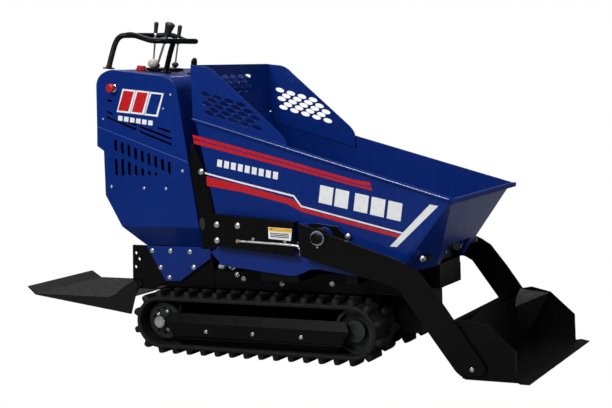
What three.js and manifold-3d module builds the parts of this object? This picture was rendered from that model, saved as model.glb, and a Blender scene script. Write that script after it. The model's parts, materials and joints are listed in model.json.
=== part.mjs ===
// Tracked self-loading power wheelbarrow (mini dumper), built as separate named solids.
// Millimetres. +X is forward, towards the shovel. +Y is the machine's left. +Z is up. Ground is Z = 0.
import * as THREE from 'three';
import { ConvexGeometry } from 'three/addons/geometries/ConvexGeometry.js';
import { mergeVertices } from 'three/addons/utils/BufferGeometryUtils.js';
import Module from 'manifold-3d';

const wasm = await Module();
wasm.setup();

// ---------------------------------------------------------------- driving dimensions
const GAP = 0.35;                 // air left between pieces that touch on the real machine
const RUN = 0.4;                  // radial clearance of a turning fit
const RIGHT = -1;
const LEFT = 1;
const SIDES = [['right', RIGHT], ['left', LEFT]];

// rubber tracks and their wheels
const WHEELBASE = 806;            // drive axle to idler axle
const TRACK_OUTER = 297;          // outer edge of a belt from the centre plane
const TRACK_WIDTH = 180;
const LUG_HEIGHT = 21.5;
const BELT_THICK = 15;
const BELT_INNER_R = 84;
const LUG_PITCHES = 36;
const LUG_OVERLAP = 4;            // how far the two rows of lugs reach across the belt's middle
const WHEEL_GAP = 0.8;            // air between a wheel's rim and the belt's inner face
const ROLLER_R = 30;
const ROLLER_X = [-150, 150];
const ROLLER_PIN_R = 10;
const IDLER_PIN_R = 14;
const MOTOR_SHAFT_R = 16;

// chassis
const RAIL_OUTER = 105;           // outer face of the two main rails
const RAIL_THICK = 20;
const RAIL_BOTTOM = 95;
const RAIL_REAR = -440;
const RAIL_FRONT = 600;
const DECK_HALF = 200;            // half width of the deck and its side plates
const DECK_THICK = 6;
const SIDE_PLATE_TOP = 315;
const TOWER_REAR = -500;
const TOWER_FRONT = -205;
const TOWER_TOP = 407;

// console
const CONSOLE_HALF = 300;
const SHEET = 3;                  // sheet metal of covers and panels
const PLATE = 8;                  // heavier welded plate
const HOOD_REAR = -640;
const HOOD_TOP_REAR = [-566, 1086];
const HOOD_TOP_FRONT = [-338, 1055];
const HOOD_FRONT_TOP = [-274, 1001];
const SEAM_REAR = [-640, 874];
const SEAM_FRONT = [-236, 733];
const CONSOLE_BOTTOM = 487;
const CONSOLE_BOTTOM_REAR = -547;
const CONSOLE_BOTTOM_FRONT = -202;
const PAN_HALF = 220;             // half width at the bottom of the tapered base pan

// hopper
const HOPPER_REAR_HALF = 298;
const HOPPER_FRONT_HALF = 312;
const RIM_REAR = [-200, 896];
const RIM_FRONT = [808, 604];
const HOPPER_FLOOR = 345;
const HOPPER_WALL = 3;
const RIM_WIDTH = 22;
const RIM_DROP = 18;
const HINGE = [674, 392];         // hopper tilt axis
const HINGE_PIN_R = 12;
const HINGE_EAR_Y = 80;           // inner face of a hopper hinge ear
const HINGE_EAR_THICK = 12;
const CHEEK_THICK = 10;           // yoke cheeks outside the ears
const POCKET_TOP = 420;           // roof of the pocket in the prow that clears the yoke
const POCKET_REAR = 628;
const POCKET_AIR = 5;

// loader
const ARM_PIVOT = [326, 469];
const ARM_PIN_R = 20;
const ARM_INNER = 362;            // inner face of an arm plate from the centre plane
const ARM_THICK = 12;
const ARM_TUBE = [776, 164];      // cross tube between the arms
const LOADER_PLATE_Y = 312;       // inner face of the side plate that carries the arm
const LOADER_PLATE_THICK = 6;
const CYLINDER_Y = 335.5;         // centre plane of a lift cylinder
const LIFT_BASE = [-80, 455];
const LIFT_EYE = [257.4, 444];
const LIFT_BARREL_R = 16;
const LIFT_ROD_R = 9;
const TIP_BASE = [60, 190];
const TIP_EYE = [420, 282];
const TIP_BARREL_R = 26;
const TIP_ROD_R = 14;
const TIP_PIN_R = 11;

// shovel and platform
const SHOVEL_HALF = 375;          // half width of the cutting edge
const SHOVEL_SIDE = 352;          // inner face of a shovel side plate
const SHOVEL_TIP_X = 1082.5;
const SHOVEL_BOLT = [876, 39];
const SHOVEL_PIN_R = 9;
const PLATFORM_HINGE = [-548, 247];
const PLATFORM_PIN_R = 10;
const PLATFORM_HALF = 226;
const PLATFORM_REAR = -1041.5;
const PLATFORM_FRONT = -600;
const PLATFORM_TOP = 195;
const SEGMENTS = 20;

// ---------------------------------------------------------------- materials
function material(color, roughness, metalness) {
  return new THREE.MeshStandardMaterial({ color, roughness, metalness });
}
const BLUE = material(0x0a2c9c, 0.35, 0.1);
const BLACK = material(0x15161a, 0.5, 0.3);
const RUBBER = material(0x17181a, 0.85, 0.0);
const STEEL = material(0xb9bcc0, 0.3, 0.9);
const CHROME = material(0xdcdfe2, 0.12, 1.0);
const CAST = material(0x3b3d42, 0.6, 0.6);
const RED = material(0xc0141c, 0.35, 0.0);
const PLASTIC = material(0x101114, 0.55, 0.0);

// ---------------------------------------------------------------- solids
/** A closed three.js geometry as a manifold solid. */
function solid(geometry) {
  const bare = geometry.index ? geometry.toNonIndexed() : geometry.clone();
  for (const name of Object.keys(bare.attributes)) {
    if (name !== 'position') bare.deleteAttribute(name);
  }
  const merged = mergeVertices(bare, 1e-4);
  return new wasm.Manifold(new wasm.Mesh({
    numProp: 3,
    vertProperties: new Float32Array(merged.attributes.position.array),
    triVerts: new Uint32Array(merged.index.array),
  }));
}

/** All the given solids joined into one. */
function join(...parts) {
  return parts.reduce((whole, part) => whole.add(part));
}

/** A box between two corners. */
function box(x0, x1, y0, y1, z0, z1) {
  const geometry = new THREE.BoxGeometry(Math.abs(x1 - x0), Math.abs(y1 - y0), Math.abs(z1 - z0));
  geometry.translate((x0 + x1) / 2, (y0 + y1) / 2, (z0 + z1) / 2);
  return solid(geometry);
}

/** A box whose Y range is measured outwards on one side of the centre plane. */
function sideBox(side, x0, x1, inner, outer, z0, z1) {
  return box(x0, x1, side * inner, side * outer, z0, z1);
}

/** An XZ outline given as a THREE.Shape, extruded along Y between two distances on one side. */
function sideExtrude(side, shape, inner, outer) {
  const depth = outer - inner;
  const geometry = new THREE.ExtrudeGeometry(shape, { depth, bevelEnabled: false, curveSegments: 10 });
  geometry.rotateX(Math.PI / 2);
  const far = side > 0 ? outer : -inner;
  geometry.translate(0, far, 0);
  return solid(geometry);
}

/** A closed polygon through [x, z] points. */
function outline(points) {
  return new THREE.Shape(points.map(([x, z]) => new THREE.Vector2(x, z)));
}

/** An XZ outline extruded right across the machine, the same distance to both sides. */
function acrossExtrude(shape, half) {
  const geometry = new THREE.ExtrudeGeometry(shape, { depth: 2 * half, bevelEnabled: false, curveSegments: 10 });
  geometry.rotateX(Math.PI / 2);
  geometry.translate(0, half, 0);
  return solid(geometry);
}

/** A flat plate cut to an [x, z] outline. */
function plate(side, points, inner, outer) {
  return sideExtrude(side, outline(points), inner, outer);
}

/** A round bar along Y at [x, z], between two distances on one side. */
function bar(side, [x, z], radius, inner, outer, segments = SEGMENTS) {
  const geometry = new THREE.CylinderGeometry(radius, radius, outer - inner, segments);
  geometry.translate(x, side * (inner + outer) / 2, z);
  return solid(geometry);
}

/** A round bar between two points in space. */
function rod(from, to, radius, segments = SEGMENTS, tipRadius = radius) {
  const start = new THREE.Vector3(...from);
  const end = new THREE.Vector3(...to);
  const along = end.clone().sub(start);
  const geometry = new THREE.CylinderGeometry(tipRadius, radius, along.length(), segments);
  geometry.applyQuaternion(
    new THREE.Quaternion().setFromUnitVectors(new THREE.Vector3(0, 1, 0), along.clone().normalize()));
  const middle = start.add(end).multiplyScalar(0.5);
  geometry.translate(middle.x, middle.y, middle.z);
  return solid(geometry);
}

/** A round tube's outside swept through points, with soft corners. */
function sweep(points, radius, steps) {
  const path = new THREE.CatmullRomCurve3(points.map((p) => new THREE.Vector3(...p)), false, 'centripetal');
  const section = new THREE.Shape();
  section.absarc(0, 0, radius, 0, 2 * Math.PI);
  const geometry = new THREE.ExtrudeGeometry(section, {
    steps, bevelEnabled: false, extrudePath: path, curveSegments: 5,
  });
  return solid(geometry);
}

/** The smallest convex solid around the given points. */
function hull(points) {
  return solid(new ConvexGeometry(points.map((p) => new THREE.Vector3(...p))));
}

/** Points mirrored to both sides of the centre plane. */
function bothSides(points) {
  return points.flatMap(([x, y, z]) => [[x, y, z], [x, -y, z]]);
}

/** A turned shape around Y: [radius, y] profile that starts and ends on the axis. */
function turned(side, [x, z], profile, segments = SEGMENTS) {
  const geometry = new THREE.LatheGeometry(profile.map(([r, y]) => new THREE.Vector2(r, y)), segments);
  if (side < 0) geometry.rotateX(Math.PI);
  geometry.translate(x, 0, z);
  return solid(geometry);
}

const machine = new THREE.Group();
machine.name = 'power_wheelbarrow';

/** Adds one named piece to the machine. */
function piece(name, shape, finish) {
  const mesh = shape.getMesh();
  const geometry = new THREE.BufferGeometry();
  const positions = new Float32Array(mesh.numVert * 3);
  for (let i = 0; i < mesh.numVert; i += 1) {
    for (let axis = 0; axis < 3; axis += 1) {
      positions[3 * i + axis] = mesh.vertProperties[mesh.numProp * i + axis];
    }
  }
  geometry.setAttribute('position', new THREE.BufferAttribute(positions, 3));
  geometry.setIndex(new THREE.BufferAttribute(new Uint32Array(mesh.triVerts), 1));
  geometry.computeVertexNormals();
  const node = new THREE.Mesh(geometry, finish);
  node.name = name;
  machine.add(node);
}

// ---------------------------------------------------------------- tracks
const BELT_OUTER_R = BELT_INNER_R + BELT_THICK;
const AXLE_Z = BELT_OUTER_R + LUG_HEIGHT;
const DRIVE_AXLE = [-WHEELBASE / 2, AXLE_Z];
const IDLER_AXLE = [WHEELBASE / 2, AXLE_Z];
const TRACK_INNER = TRACK_OUTER - TRACK_WIDTH;
const WHEEL_R = BELT_INNER_R - WHEEL_GAP;
const BEAM_INNER = TRACK_INNER + 35;
const BEAM_OUTER = TRACK_OUTER - 29;
const BEAM_PLATE = 10;
const BEAM_BOTTOM = 112;
const BEAM_TOP = 150;

/** A race-track outline of the given radius round both axles. */
function loop(shape, radius) {
  shape.absarc(DRIVE_AXLE[0], AXLE_Z, radius, Math.PI / 2, 3 * Math.PI / 2, false);
  shape.absarc(IDLER_AXLE[0], AXLE_Z, radius, -Math.PI / 2, Math.PI / 2, false);
  shape.closePath();
  return shape;
}

/** The point and outward angle at a distance along the belt's outer face. */
function alongBelt(distance) {
  const bend = Math.PI * BELT_OUTER_R;
  let s = distance;
  if (s < WHEELBASE) return [DRIVE_AXLE[0] + s, AXLE_Z + BELT_OUTER_R, Math.PI / 2];
  s -= WHEELBASE;
  if (s < bend) {
    const angle = Math.PI / 2 - s / BELT_OUTER_R;
    return [IDLER_AXLE[0] + BELT_OUTER_R * Math.cos(angle), AXLE_Z + BELT_OUTER_R * Math.sin(angle), angle];
  }
  s -= bend;
  if (s < WHEELBASE) return [IDLER_AXLE[0] - s, AXLE_Z - BELT_OUTER_R, -Math.PI / 2];
  s -= WHEELBASE;
  const angle = -Math.PI / 2 - s / BELT_OUTER_R;
  return [DRIVE_AXLE[0] + BELT_OUTER_R * Math.cos(angle), AXLE_Z + BELT_OUTER_R * Math.sin(angle), angle];
}

/** One tapered lug standing on the belt, its foot sunk a little into it. */
function lug(side, distance, inner, outer) {
  const [x, z, angle] = alongBelt(distance);
  const foot = 36;
  const crest = 20;
  const sunk = 3;
  const section = outline([[-foot / 2, -sunk], [foot / 2, -sunk], [crest / 2, LUG_HEIGHT], [-crest / 2, LUG_HEIGHT]]);
  const geometry = new THREE.ExtrudeGeometry(section, { depth: outer - inner, bevelEnabled: false });
  geometry.rotateX(Math.PI / 2);
  geometry.translate(0, side > 0 ? outer : -inner, 0);
  geometry.rotateY(-(angle - Math.PI / 2));
  geometry.translate(x, 0, z);
  return solid(geometry);
}

function trackBelt(side) {
  const shape = loop(new THREE.Shape(), BELT_OUTER_R);
  shape.holes.push(loop(new THREE.Path(), BELT_INNER_R));
  let belt = sideExtrude(side, shape, TRACK_INNER, TRACK_OUTER);
  const length = 2 * WHEELBASE + 2 * Math.PI * BELT_OUTER_R;
  const pitch = length / LUG_PITCHES;
  const middle = TRACK_OUTER - TRACK_WIDTH / 2;
  const edge = 3;
  for (let i = 0; i < LUG_PITCHES; i += 1) {
    belt = belt.add(lug(side, i * pitch, middle - LUG_OVERLAP, TRACK_OUTER - edge));
    belt = belt.add(lug(side, (i + 0.5) * pitch, TRACK_INNER + edge, middle + LUG_OVERLAP));
  }
  return belt;
}

function sprocket(side) {
  const width = [TRACK_INNER + 60, TRACK_OUTER - 45];
  const rootR = WHEEL_R - 14;
  const teeth = 9;
  const capLength = 36;
  let wheel = bar(side, DRIVE_AXLE, rootR, ...width, 30);
  for (let i = 0; i < teeth; i += 1) {
    const angle = (2 * Math.PI * i) / teeth;
    const tooth = new THREE.BoxGeometry(22, 30, 18);
    tooth.translate(WHEEL_R - 12, side * (width[0] + width[1]) / 2, 0);
    tooth.rotateY(-angle);
    tooth.translate(DRIVE_AXLE[0], 0, DRIVE_AXLE[1]);
    wheel = wheel.add(solid(tooth));
  }
  wheel = wheel.add(bar(side, DRIVE_AXLE, 24, width[1] - 1, width[1] + capLength));
  const windows = 10;
  for (let i = 0; i < windows; i += 1) {
    const angle = (2 * Math.PI * (i + 0.5)) / windows;
    const at = [DRIVE_AXLE[0] + 47 * Math.cos(angle), DRIVE_AXLE[1] + 47 * Math.sin(angle)];
    wheel = wheel.subtract(bar(side, at, 6, width[0] - 1, width[1] + 1, 6));
  }
  return wheel.subtract(bar(side, DRIVE_AXLE, MOTOR_SHAFT_R + RUN, width[0] - 1, width[1] - 10));
}

function idler(side) {
  const inner = BEAM_INNER + BEAM_PLATE + 2;
  const outer = TRACK_OUTER - 48;
  const hubR = 40;
  const wheel = bar(side, IDLER_AXLE, WHEEL_R, inner, outer, 36)
    .subtract(bar(side, IDLER_AXLE, WHEEL_R - 10, outer - 18, outer + 1, 36))
    .add(bar(side, IDLER_AXLE, hubR, outer - 20, outer + 8));
  return wheel.subtract(bar(side, IDLER_AXLE, IDLER_PIN_R + RUN, inner - 1, outer - 8));
}

function roller(side, x) {
  const at = [x, AXLE_Z - BELT_INNER_R + WHEEL_GAP + ROLLER_R];
  const inner = BEAM_INNER + BEAM_PLATE + 2;
  const outer = BEAM_OUTER - BEAM_PLATE - 2;
  return bar(side, at, ROLLER_R, inner, outer).subtract(bar(side, at, ROLLER_PIN_R + RUN, inner - 1, outer + 1));
}

function trackBeam(side) {
  const reach = 300;
  const hangerHalf = 34;
  const rollerZ = AXLE_Z - BELT_INNER_R + WHEEL_GAP + ROLLER_R;
  let beam = sideBox(side, -reach, reach, BEAM_INNER, BEAM_OUTER, BEAM_BOTTOM, BEAM_TOP);
  for (const x of ROLLER_X) {
    const low = rollerZ - 14;
    const inner = sideBox(side, x - hangerHalf, x + hangerHalf, BEAM_INNER, BEAM_INNER + BEAM_PLATE, low, BEAM_TOP);
    const outer = sideBox(side, x - hangerHalf, x + hangerHalf, BEAM_OUTER - BEAM_PLATE, BEAM_OUTER, low, BEAM_TOP);
    beam = join(beam, inner, outer, bar(side, [x, rollerZ], ROLLER_PIN_R, BEAM_INNER, BEAM_OUTER));
  }
  const arm = sideBox(side, reach - 10, IDLER_AXLE[0] + 26, BEAM_INNER, BEAM_INNER + BEAM_PLATE,
    AXLE_Z - 26, AXLE_Z + 26);
  return join(beam, arm, bar(side, IDLER_AXLE, IDLER_PIN_R, BEAM_INNER, TRACK_OUTER - 60));
}

function driveMotor(side) {
  const flange = RAIL_OUTER + GAP;
  return join(
    bar(side, DRIVE_AXLE, 62, flange, flange + 12),
    bar(side, DRIVE_AXLE, 46, flange + 10, TRACK_INNER + 54),
    bar(side, DRIVE_AXLE, MOTOR_SHAFT_R, TRACK_INNER + 50, TRACK_OUTER - 60),
  );
}

/** The long folded cover outside a track beam: an upright face with both edges folded inwards. */
function trackCover(side) {
  const face = TRACK_OUTER - 4;
  const folds = [[BEAM_OUTER + 4, 157], [face, 124], [face, 76], [BEAM_OUTER + 4, 38]];
  const rear = [-372, -374, -346, -325];
  const front = [374, 396, 365, 337];
  let cover = null;
  for (let i = 0; i < 3; i += 1) {
    const corners = [];
    for (const k of [i, i + 1]) {
      const [y, z] = folds[k];
      for (const x of [rear[k], front[k]]) {
        corners.push([x, side * y, z], [x, side * (y - SHEET), z]);
      }
    }
    const strip = hull(corners);
    cover = cover ? cover.add(strip) : strip;
  }
  const lug1 = sideBox(side, -60, -20, BEAM_OUTER + GAP, face - 1, 88, 104);
  const lug2 = sideBox(side, 60, 100, BEAM_OUTER + GAP, face - 1, 88, 104);
  return join(cover, lug1, lug2);
}

// ---------------------------------------------------------------- chassis
const DECK_BOTTOM = 2 * AXLE_Z + 5;
const DECK_TOP = DECK_BOTTOM + DECK_THICK;
const CHEEK_INNER = HINGE_EAR_Y + HINGE_EAR_THICK + 2;
const CHEEK_OUTER = CHEEK_INNER + CHEEK_THICK;
const CHEEK_TIP_R = 20;
const YOKE_FRONT = HINGE[0];
const YOKE_BOTTOM = 262;
const POCKET_HALF = CHEEK_OUTER + POCKET_AIR;
const OUTRIGGERS = [[60, 215], [400, 446]];

function chassisFrame() {
  const railInner = RAIL_OUTER - RAIL_THICK;
  const parts = [
    rod([TIP_BASE[0], -40, TIP_BASE[1]], [TIP_BASE[0], 40, TIP_BASE[1]], TIP_PIN_R),
    box(RAIL_REAR, RAIL_REAR + 30, -RAIL_OUTER, RAIL_OUTER, RAIL_BOTTOM, DECK_TOP),
    box(RAIL_FRONT - 30, RAIL_FRONT, -RAIL_OUTER, RAIL_OUTER, RAIL_BOTTOM, DECK_TOP),
    box(TIP_BASE[0] - 30, TIP_BASE[0] + 30, -RAIL_OUTER, RAIL_OUTER, 110, 148),
    box(TOWER_REAR, TOWER_FRONT, -DECK_HALF - 4, DECK_HALF + 4, DECK_BOTTOM, DECK_TOP),
    box(TOWER_REAR, TOWER_FRONT, -DECK_HALF - 4, DECK_HALF + 4, TOWER_TOP - DECK_THICK, TOWER_TOP),
    box(TOWER_FRONT - 12, TOWER_FRONT, -DECK_HALF, DECK_HALF, DECK_BOTTOM, TOWER_TOP),
    box(RAIL_FRONT - 30, RAIL_FRONT + 20, -CHEEK_OUTER, CHEEK_OUTER, DECK_BOTTOM, 300),
    box(RAIL_FRONT - 5, YOKE_FRONT, -CHEEK_OUTER, CHEEK_OUTER, YOKE_BOTTOM, 335),
    box(YOKE_FRONT - 6, YOKE_FRONT, -CHEEK_OUTER, CHEEK_OUTER, YOKE_BOTTOM, 350),
  ];
  for (const [, side] of SIDES) {
    parts.push(
      sideBox(side, RAIL_REAR, RAIL_FRONT, railInner, RAIL_OUTER, RAIL_BOTTOM, DECK_TOP),
      sideBox(side, TOWER_FRONT - 20, 640, railInner, DECK_HALF, DECK_BOTTOM, DECK_TOP),
      sideBox(side, TOWER_FRONT - 20, 640, DECK_HALF - 6, DECK_HALF, DECK_BOTTOM, SIDE_PLATE_TOP),
      sideBox(side, TOWER_REAR, TOWER_FRONT, DECK_HALF - 4, DECK_HALF + 4, DECK_BOTTOM, TOWER_TOP),
    );
    for (const x of [-200, 200]) {
      parts.push(sideBox(side, x - 30, x + 30, RAIL_OUTER - 5, BEAM_INNER - GAP, 115, 145));
    }
    for (const [x0, x1] of OUTRIGGERS) {
      parts.push(sideBox(side, x0, x1, DECK_HALF - 4, LOADER_PLATE_Y - GAP, 300, HOPPER_FLOOR - 3));
    }
    const cheek = plate(side, [
      [HINGE[0] - CHEEK_TIP_R, YOKE_BOTTOM], [YOKE_FRONT, YOKE_BOTTOM], [YOKE_FRONT, HINGE[1] - 16],
      [HINGE[0] + CHEEK_TIP_R, HINGE[1]], [HINGE[0], HINGE[1] + CHEEK_TIP_R], [HINGE[0] - CHEEK_TIP_R, HINGE[1]],
    ], CHEEK_INNER, CHEEK_OUTER);
    parts.push(join(cheek, bar(side, HINGE, CHEEK_TIP_R, CHEEK_INNER, CHEEK_OUTER))
      .subtract(bar(side, HINGE, HINGE_PIN_R + RUN, CHEEK_INNER - 1, CHEEK_OUTER + 1)));
    parts.push(sideBox(side, TIP_BASE[0] - 18, TIP_BASE[0] + 18, 30, 40, 140, TIP_BASE[1] + 18));
  }
  return join(...parts);
}

// ---------------------------------------------------------------- console
const FUEL_CAP = [-515, -165];
const NECK_R = 14;
const TOP_SLOPE = (HOOD_TOP_REAR[1] - HOOD_TOP_FRONT[1]) / (HOOD_TOP_FRONT[0] - HOOD_TOP_REAR[0]);
const TOP_NORMAL = [TOP_SLOPE / Math.hypot(TOP_SLOPE, 1), 0, 1 / Math.hypot(TOP_SLOPE, 1)];

/** Height of the console's sloping top face. */
function topZ(x) {
  return HOOD_TOP_REAR[1] - TOP_SLOPE * (x - HOOD_TOP_REAR[0]);
}

/** The point at a height above the sloping top, measured square to it. */
function onTop(x, y, height) {
  return [x + TOP_NORMAL[0] * height, y, topZ(x) + TOP_NORMAL[2] * height];
}

/** The upper side panel's outline, with round top corners. */
function upperPanelShape(drop) {
  const shape = new THREE.Shape();
  shape.moveTo(SEAM_REAR[0], SEAM_REAR[1] + drop);
  shape.lineTo(HOOD_REAR + 6, 1030);
  shape.quadraticCurveTo(HOOD_REAR + 12, 1076, HOOD_TOP_REAR[0], HOOD_TOP_REAR[1]);
  shape.lineTo(HOOD_TOP_FRONT[0], HOOD_TOP_FRONT[1]);
  shape.quadraticCurveTo(HOOD_FRONT_TOP[0] - 10, 1046, HOOD_FRONT_TOP[0], HOOD_FRONT_TOP[1]);
  shape.lineTo(SEAM_FRONT[0], SEAM_FRONT[1] + drop);
  shape.closePath();
  return shape;
}

const LOWER_PANEL = [
  [SEAM_REAR[0], SEAM_REAR[1] - GAP], [-644, 797], [-614, 778], [-616, 608],
  [CONSOLE_BOTTOM_REAR, CONSOLE_BOTTOM], [CONSOLE_BOTTOM_FRONT, CONSOLE_BOTTOM],
  [SEAM_FRONT[0], SEAM_FRONT[1] - GAP],
];

/** The folded sheet between the side panels: top, front and the rear's upper part. */
function consoleHood() {
  const half = CONSOLE_HALF - SHEET - GAP;
  const outer = new THREE.Shape();
  const wall = SHEET;
  outer.moveTo(HOOD_REAR, SEAM_REAR[1] + 10);
  outer.lineTo(HOOD_REAR + 6, 1030);
  outer.quadraticCurveTo(HOOD_REAR + 12, 1076, HOOD_TOP_REAR[0], HOOD_TOP_REAR[1]);
  outer.lineTo(HOOD_TOP_FRONT[0], HOOD_TOP_FRONT[1]);
  outer.quadraticCurveTo(HOOD_FRONT_TOP[0] - 10, 1046, HOOD_FRONT_TOP[0], HOOD_FRONT_TOP[1]);
  outer.lineTo(CONSOLE_BOTTOM_FRONT, CONSOLE_BOTTOM + 4);
  outer.lineTo(CONSOLE_BOTTOM_FRONT - wall, CONSOLE_BOTTOM + 4);
  outer.lineTo(HOOD_FRONT_TOP[0] - wall, HOOD_FRONT_TOP[1] - wall);
  outer.quadraticCurveTo(HOOD_FRONT_TOP[0] - 12, 1040, HOOD_TOP_FRONT[0], HOOD_TOP_FRONT[1] - wall);
  outer.lineTo(HOOD_TOP_REAR[0], HOOD_TOP_REAR[1] - wall);
  outer.quadraticCurveTo(HOOD_REAR + 15, 1072, HOOD_REAR + 6 + wall, 1030);
  outer.lineTo(HOOD_REAR + wall, SEAM_REAR[1] + 10);
  outer.closePath();
  return acrossExtrude(outer, half).subtract(rod(onTop(...FUEL_CAP, -60), onTop(...FUEL_CAP, 60), NECK_R + 2));
}

/** The removable cover over the console's rear opening. */
function rearCover() {
  const half = CONSOLE_HALF - SHEET - GAP;
  const points = [
    [-640, 883], [-644, 797], [-614, 776], [-616, 608], [CONSOLE_BOTTOM_REAR, CONSOLE_BOTTOM + 1],
    [CONSOLE_BOTTOM_REAR + 4, CONSOLE_BOTTOM + 1], [-612, 609], [-610, 779], [-640, 800], [-636, 883],
  ];
  return acrossExtrude(outline(points), half);
}

/** The tray under the console, tapering in to the chassis tower. */
function basePan() {
  const half = CONSOLE_HALF;
  const bottom = TOWER_TOP + GAP;
  const top = CONSOLE_BOTTOM - GAP;
  const wall = 4;
  const outer = hull(bothSides([
    [CONSOLE_BOTTOM_REAR, half, top], [CONSOLE_BOTTOM_FRONT, half, top],
    [TOWER_REAR + 5, PAN_HALF, bottom], [TOWER_FRONT, PAN_HALF, bottom],
  ]));
  const inner = hull(bothSides([
    [CONSOLE_BOTTOM_REAR + wall, half - wall, top + 1], [CONSOLE_BOTTOM_FRONT - wall, half - wall, top + 1],
    [TOWER_REAR + 5 + wall, PAN_HALF - wall, bottom + wall], [TOWER_FRONT - wall, PAN_HALF - wall, bottom + wall],
  ]));
  return outer.subtract(inner);
}

const APRON = [[-495, 404], [-206, 404], [-206, 362], [-347, 270], [-411, 268]];
const BRACKET = [[-563, 404], [-400, 404], [-400, 268], [-470, 232], [-571, 232]];
const APRON_INNER = DECK_HALF + 4 + GAP + PLATE + GAP;

function rearBracket(side) {
  const inner = DECK_HALF + 4 + GAP;
  return plate(side, BRACKET, inner, inner + PLATE)
    .subtract(bar(side, PLATFORM_HINGE, PLATFORM_PIN_R + RUN, inner - 1, inner + PLATE + 1));
}

// ---------------------------------------------------------------- engine bay
function engineBlock() {
  const floor = TOWER_TOP + 5;
  return join(
    box(-485, -330, -120, 120, floor, floor + 170),
    box(-470, -370, -60, 90, floor + 160, floor + 310),
    rod([-420, -119, floor + 100], [-420, -170, floor + 100], 70),
    rod([-335, 40, floor + 90], [-270, 40, floor + 90], 45),
  );
}


const NECK_TOP = 2;

function fuelTank() {
  return join(
    box(-600, -440, -260, -70, 880, 1000),
    rod(onTop(...FUEL_CAP, -100), onTop(...FUEL_CAP, NECK_TOP), NECK_R),
  );
}

function fuelCap() {
  const foot = NECK_TOP + GAP;
  return join(
    rod(onTop(...FUEL_CAP, foot), onTop(...FUEL_CAP, foot + 5), 21, 20),
    rod(onTop(...FUEL_CAP, foot + 4), onTop(...FUEL_CAP, foot + 17), 18, 20, 17),
  );
}

function hydraulicTank() {
  return join(box(-570, -300, 126, 285, 615, 840), rod([-540, 200, 830], [-540, 200, 880], 24));
}

function exhaustPipe() {
  const x = -366;
  const y = -25;
  const pipeR = 12;
  return join(
    rod(onTop(x, y, 0.5), onTop(x, y, 5), 24),
    rod(onTop(x, y, 4), onTop(x, y, 52), pipeR),
    rod(onTop(x, y, 50), onTop(x + 3, y, 63), pipeR, SEGMENTS, 7),
  );
}

// ---------------------------------------------------------------- controls
const LEVER_PLATE = { x0: -510, x1: -455, y0: -138, y1: 46, thick: 9, lift: 4 };
const DRIVE_LEVER_RIGHT = [-482, -128];
const DRIVE_LEVER_LEFT = [-482, 30];
const MAIN_LEVER = [-490, -88];

/** Top face of the lever plate at a given x. */
function plateTop(x) {
  return topZ(x) + LEVER_PLATE.lift + LEVER_PLATE.thick;
}

function leverPlate() {
  const { x0, x1, y0, y1, lift } = LEVER_PLATE;
  const corners = [];
  for (const x of [x0, x1]) {
    for (const y of [y0, y1]) {
      corners.push([x, y, topZ(x) + lift - 2], [x, y, plateTop(x)]);
    }
  }
  const feet = [x0 + 8, x1 - 14].map((x) => box(x, x + 6, y0 + 10, y1 - 10, topZ(x) + 0.6, plateTop(x) - 3));
  return join(hull(corners), ...feet);
}

/** A lever: domed boot at the foot, thin rod, ferrule and grip. lean moves the grip forward. */
function lever([x, y], bootR, rodR, lean, grip) {
  const squash = 0.8;
  const foot = plateTop(x) + bootR * squash + 0.8;
  const at = (z) => [x + lean * (z - foot) / (grip.top - foot), y, z];
  const boot = new THREE.SphereGeometry(bootR, 16, 8);
  boot.scale(1, 1, squash);
  boot.translate(x, y, foot);
  return join(
    solid(boot),
    rod(at(foot), at(grip.foot), rodR, 8),
    rod(at(grip.foot - 12), at(grip.foot + 2), rodR + 3, 12),
    rod(at(grip.foot), at(grip.top - 8), grip.footR, 16, grip.topR),
    rod(at(grip.top - 8.5), at(grip.top), grip.topR, 16, grip.topR * 0.6),
  );
}

/** The tube round the levers: rear stem, closed loop and a front post, one weldment. */
function handleGuard() {
  const radius = 10.5;
  const near = -198;
  const far = 58;
  const front = -384;
  const loopRear = -578;
  const rearZ = 1220;
  const frontZ = 1188;
  const postY = -126;
  const postX = -428;
  const stemFoot = onTop(-598, -262, 8);
  const stem = sweep([
    stemFoot, [-594, -250, 1130], [-586, -225, 1190], [-572, -208, 1214], [-540, near, 1218], [-500, near, 1212],
  ], radius, 14);
  const ring = sweep([
    [loopRear + 60, near, rearZ - 4], [front - 60, near, frontZ + 5], [front - 22, near + 3, frontZ + 2],
    [front, near + 26, frontZ], [front, near + 60, frontZ], [front, far - 60, frontZ], [front, far - 26, frontZ],
    [front - 22, far - 3, frontZ + 2], [front - 60, far, frontZ + 5], [loopRear + 70, far, rearZ - 2],
    [loopRear + 22, far - 8, rearZ], [loopRear, far - 40, rearZ], [loopRear - 2, near + 60, rearZ - 1],
    [loopRear + 4, near + 22, rearZ - 3], [-545, near, 1218.5],
  ], radius, 44);
  const post = sweep([
    onTop(postX, postY, 6), [postX + 22, postY, 1136], [front - 2, postY, frontZ - 4],
  ], radius, 3);
  const foot = rod(onTop(-598, -262, 0.5), onTop(-598, -262, 12), 16);
  const pad = rod(onTop(postX, postY, 0.5), onTop(postX, postY, 10), 15);
  return join(stem, ring, post, foot, pad);
}

function stopKnob() {
  const at = [-556, 1017];
  return join(
    bar(RIGHT, at, 10, CONSOLE_HALF + 1, CONSOLE_HALF + 20),
    bar(RIGHT, at, 21, CONSOLE_HALF + 12, CONSOLE_HALF + 30),
  );
}

// ---------------------------------------------------------------- hopper
/** Half width of the hopper's side walls at a given x. */
function hopperHalf(x) {
  const share = (x - RIM_REAR[0]) / (RIM_FRONT[0] - RIM_REAR[0]);
  return HOPPER_REAR_HALF + (HOPPER_FRONT_HALF - HOPPER_REAR_HALF) * share;
}

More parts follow.
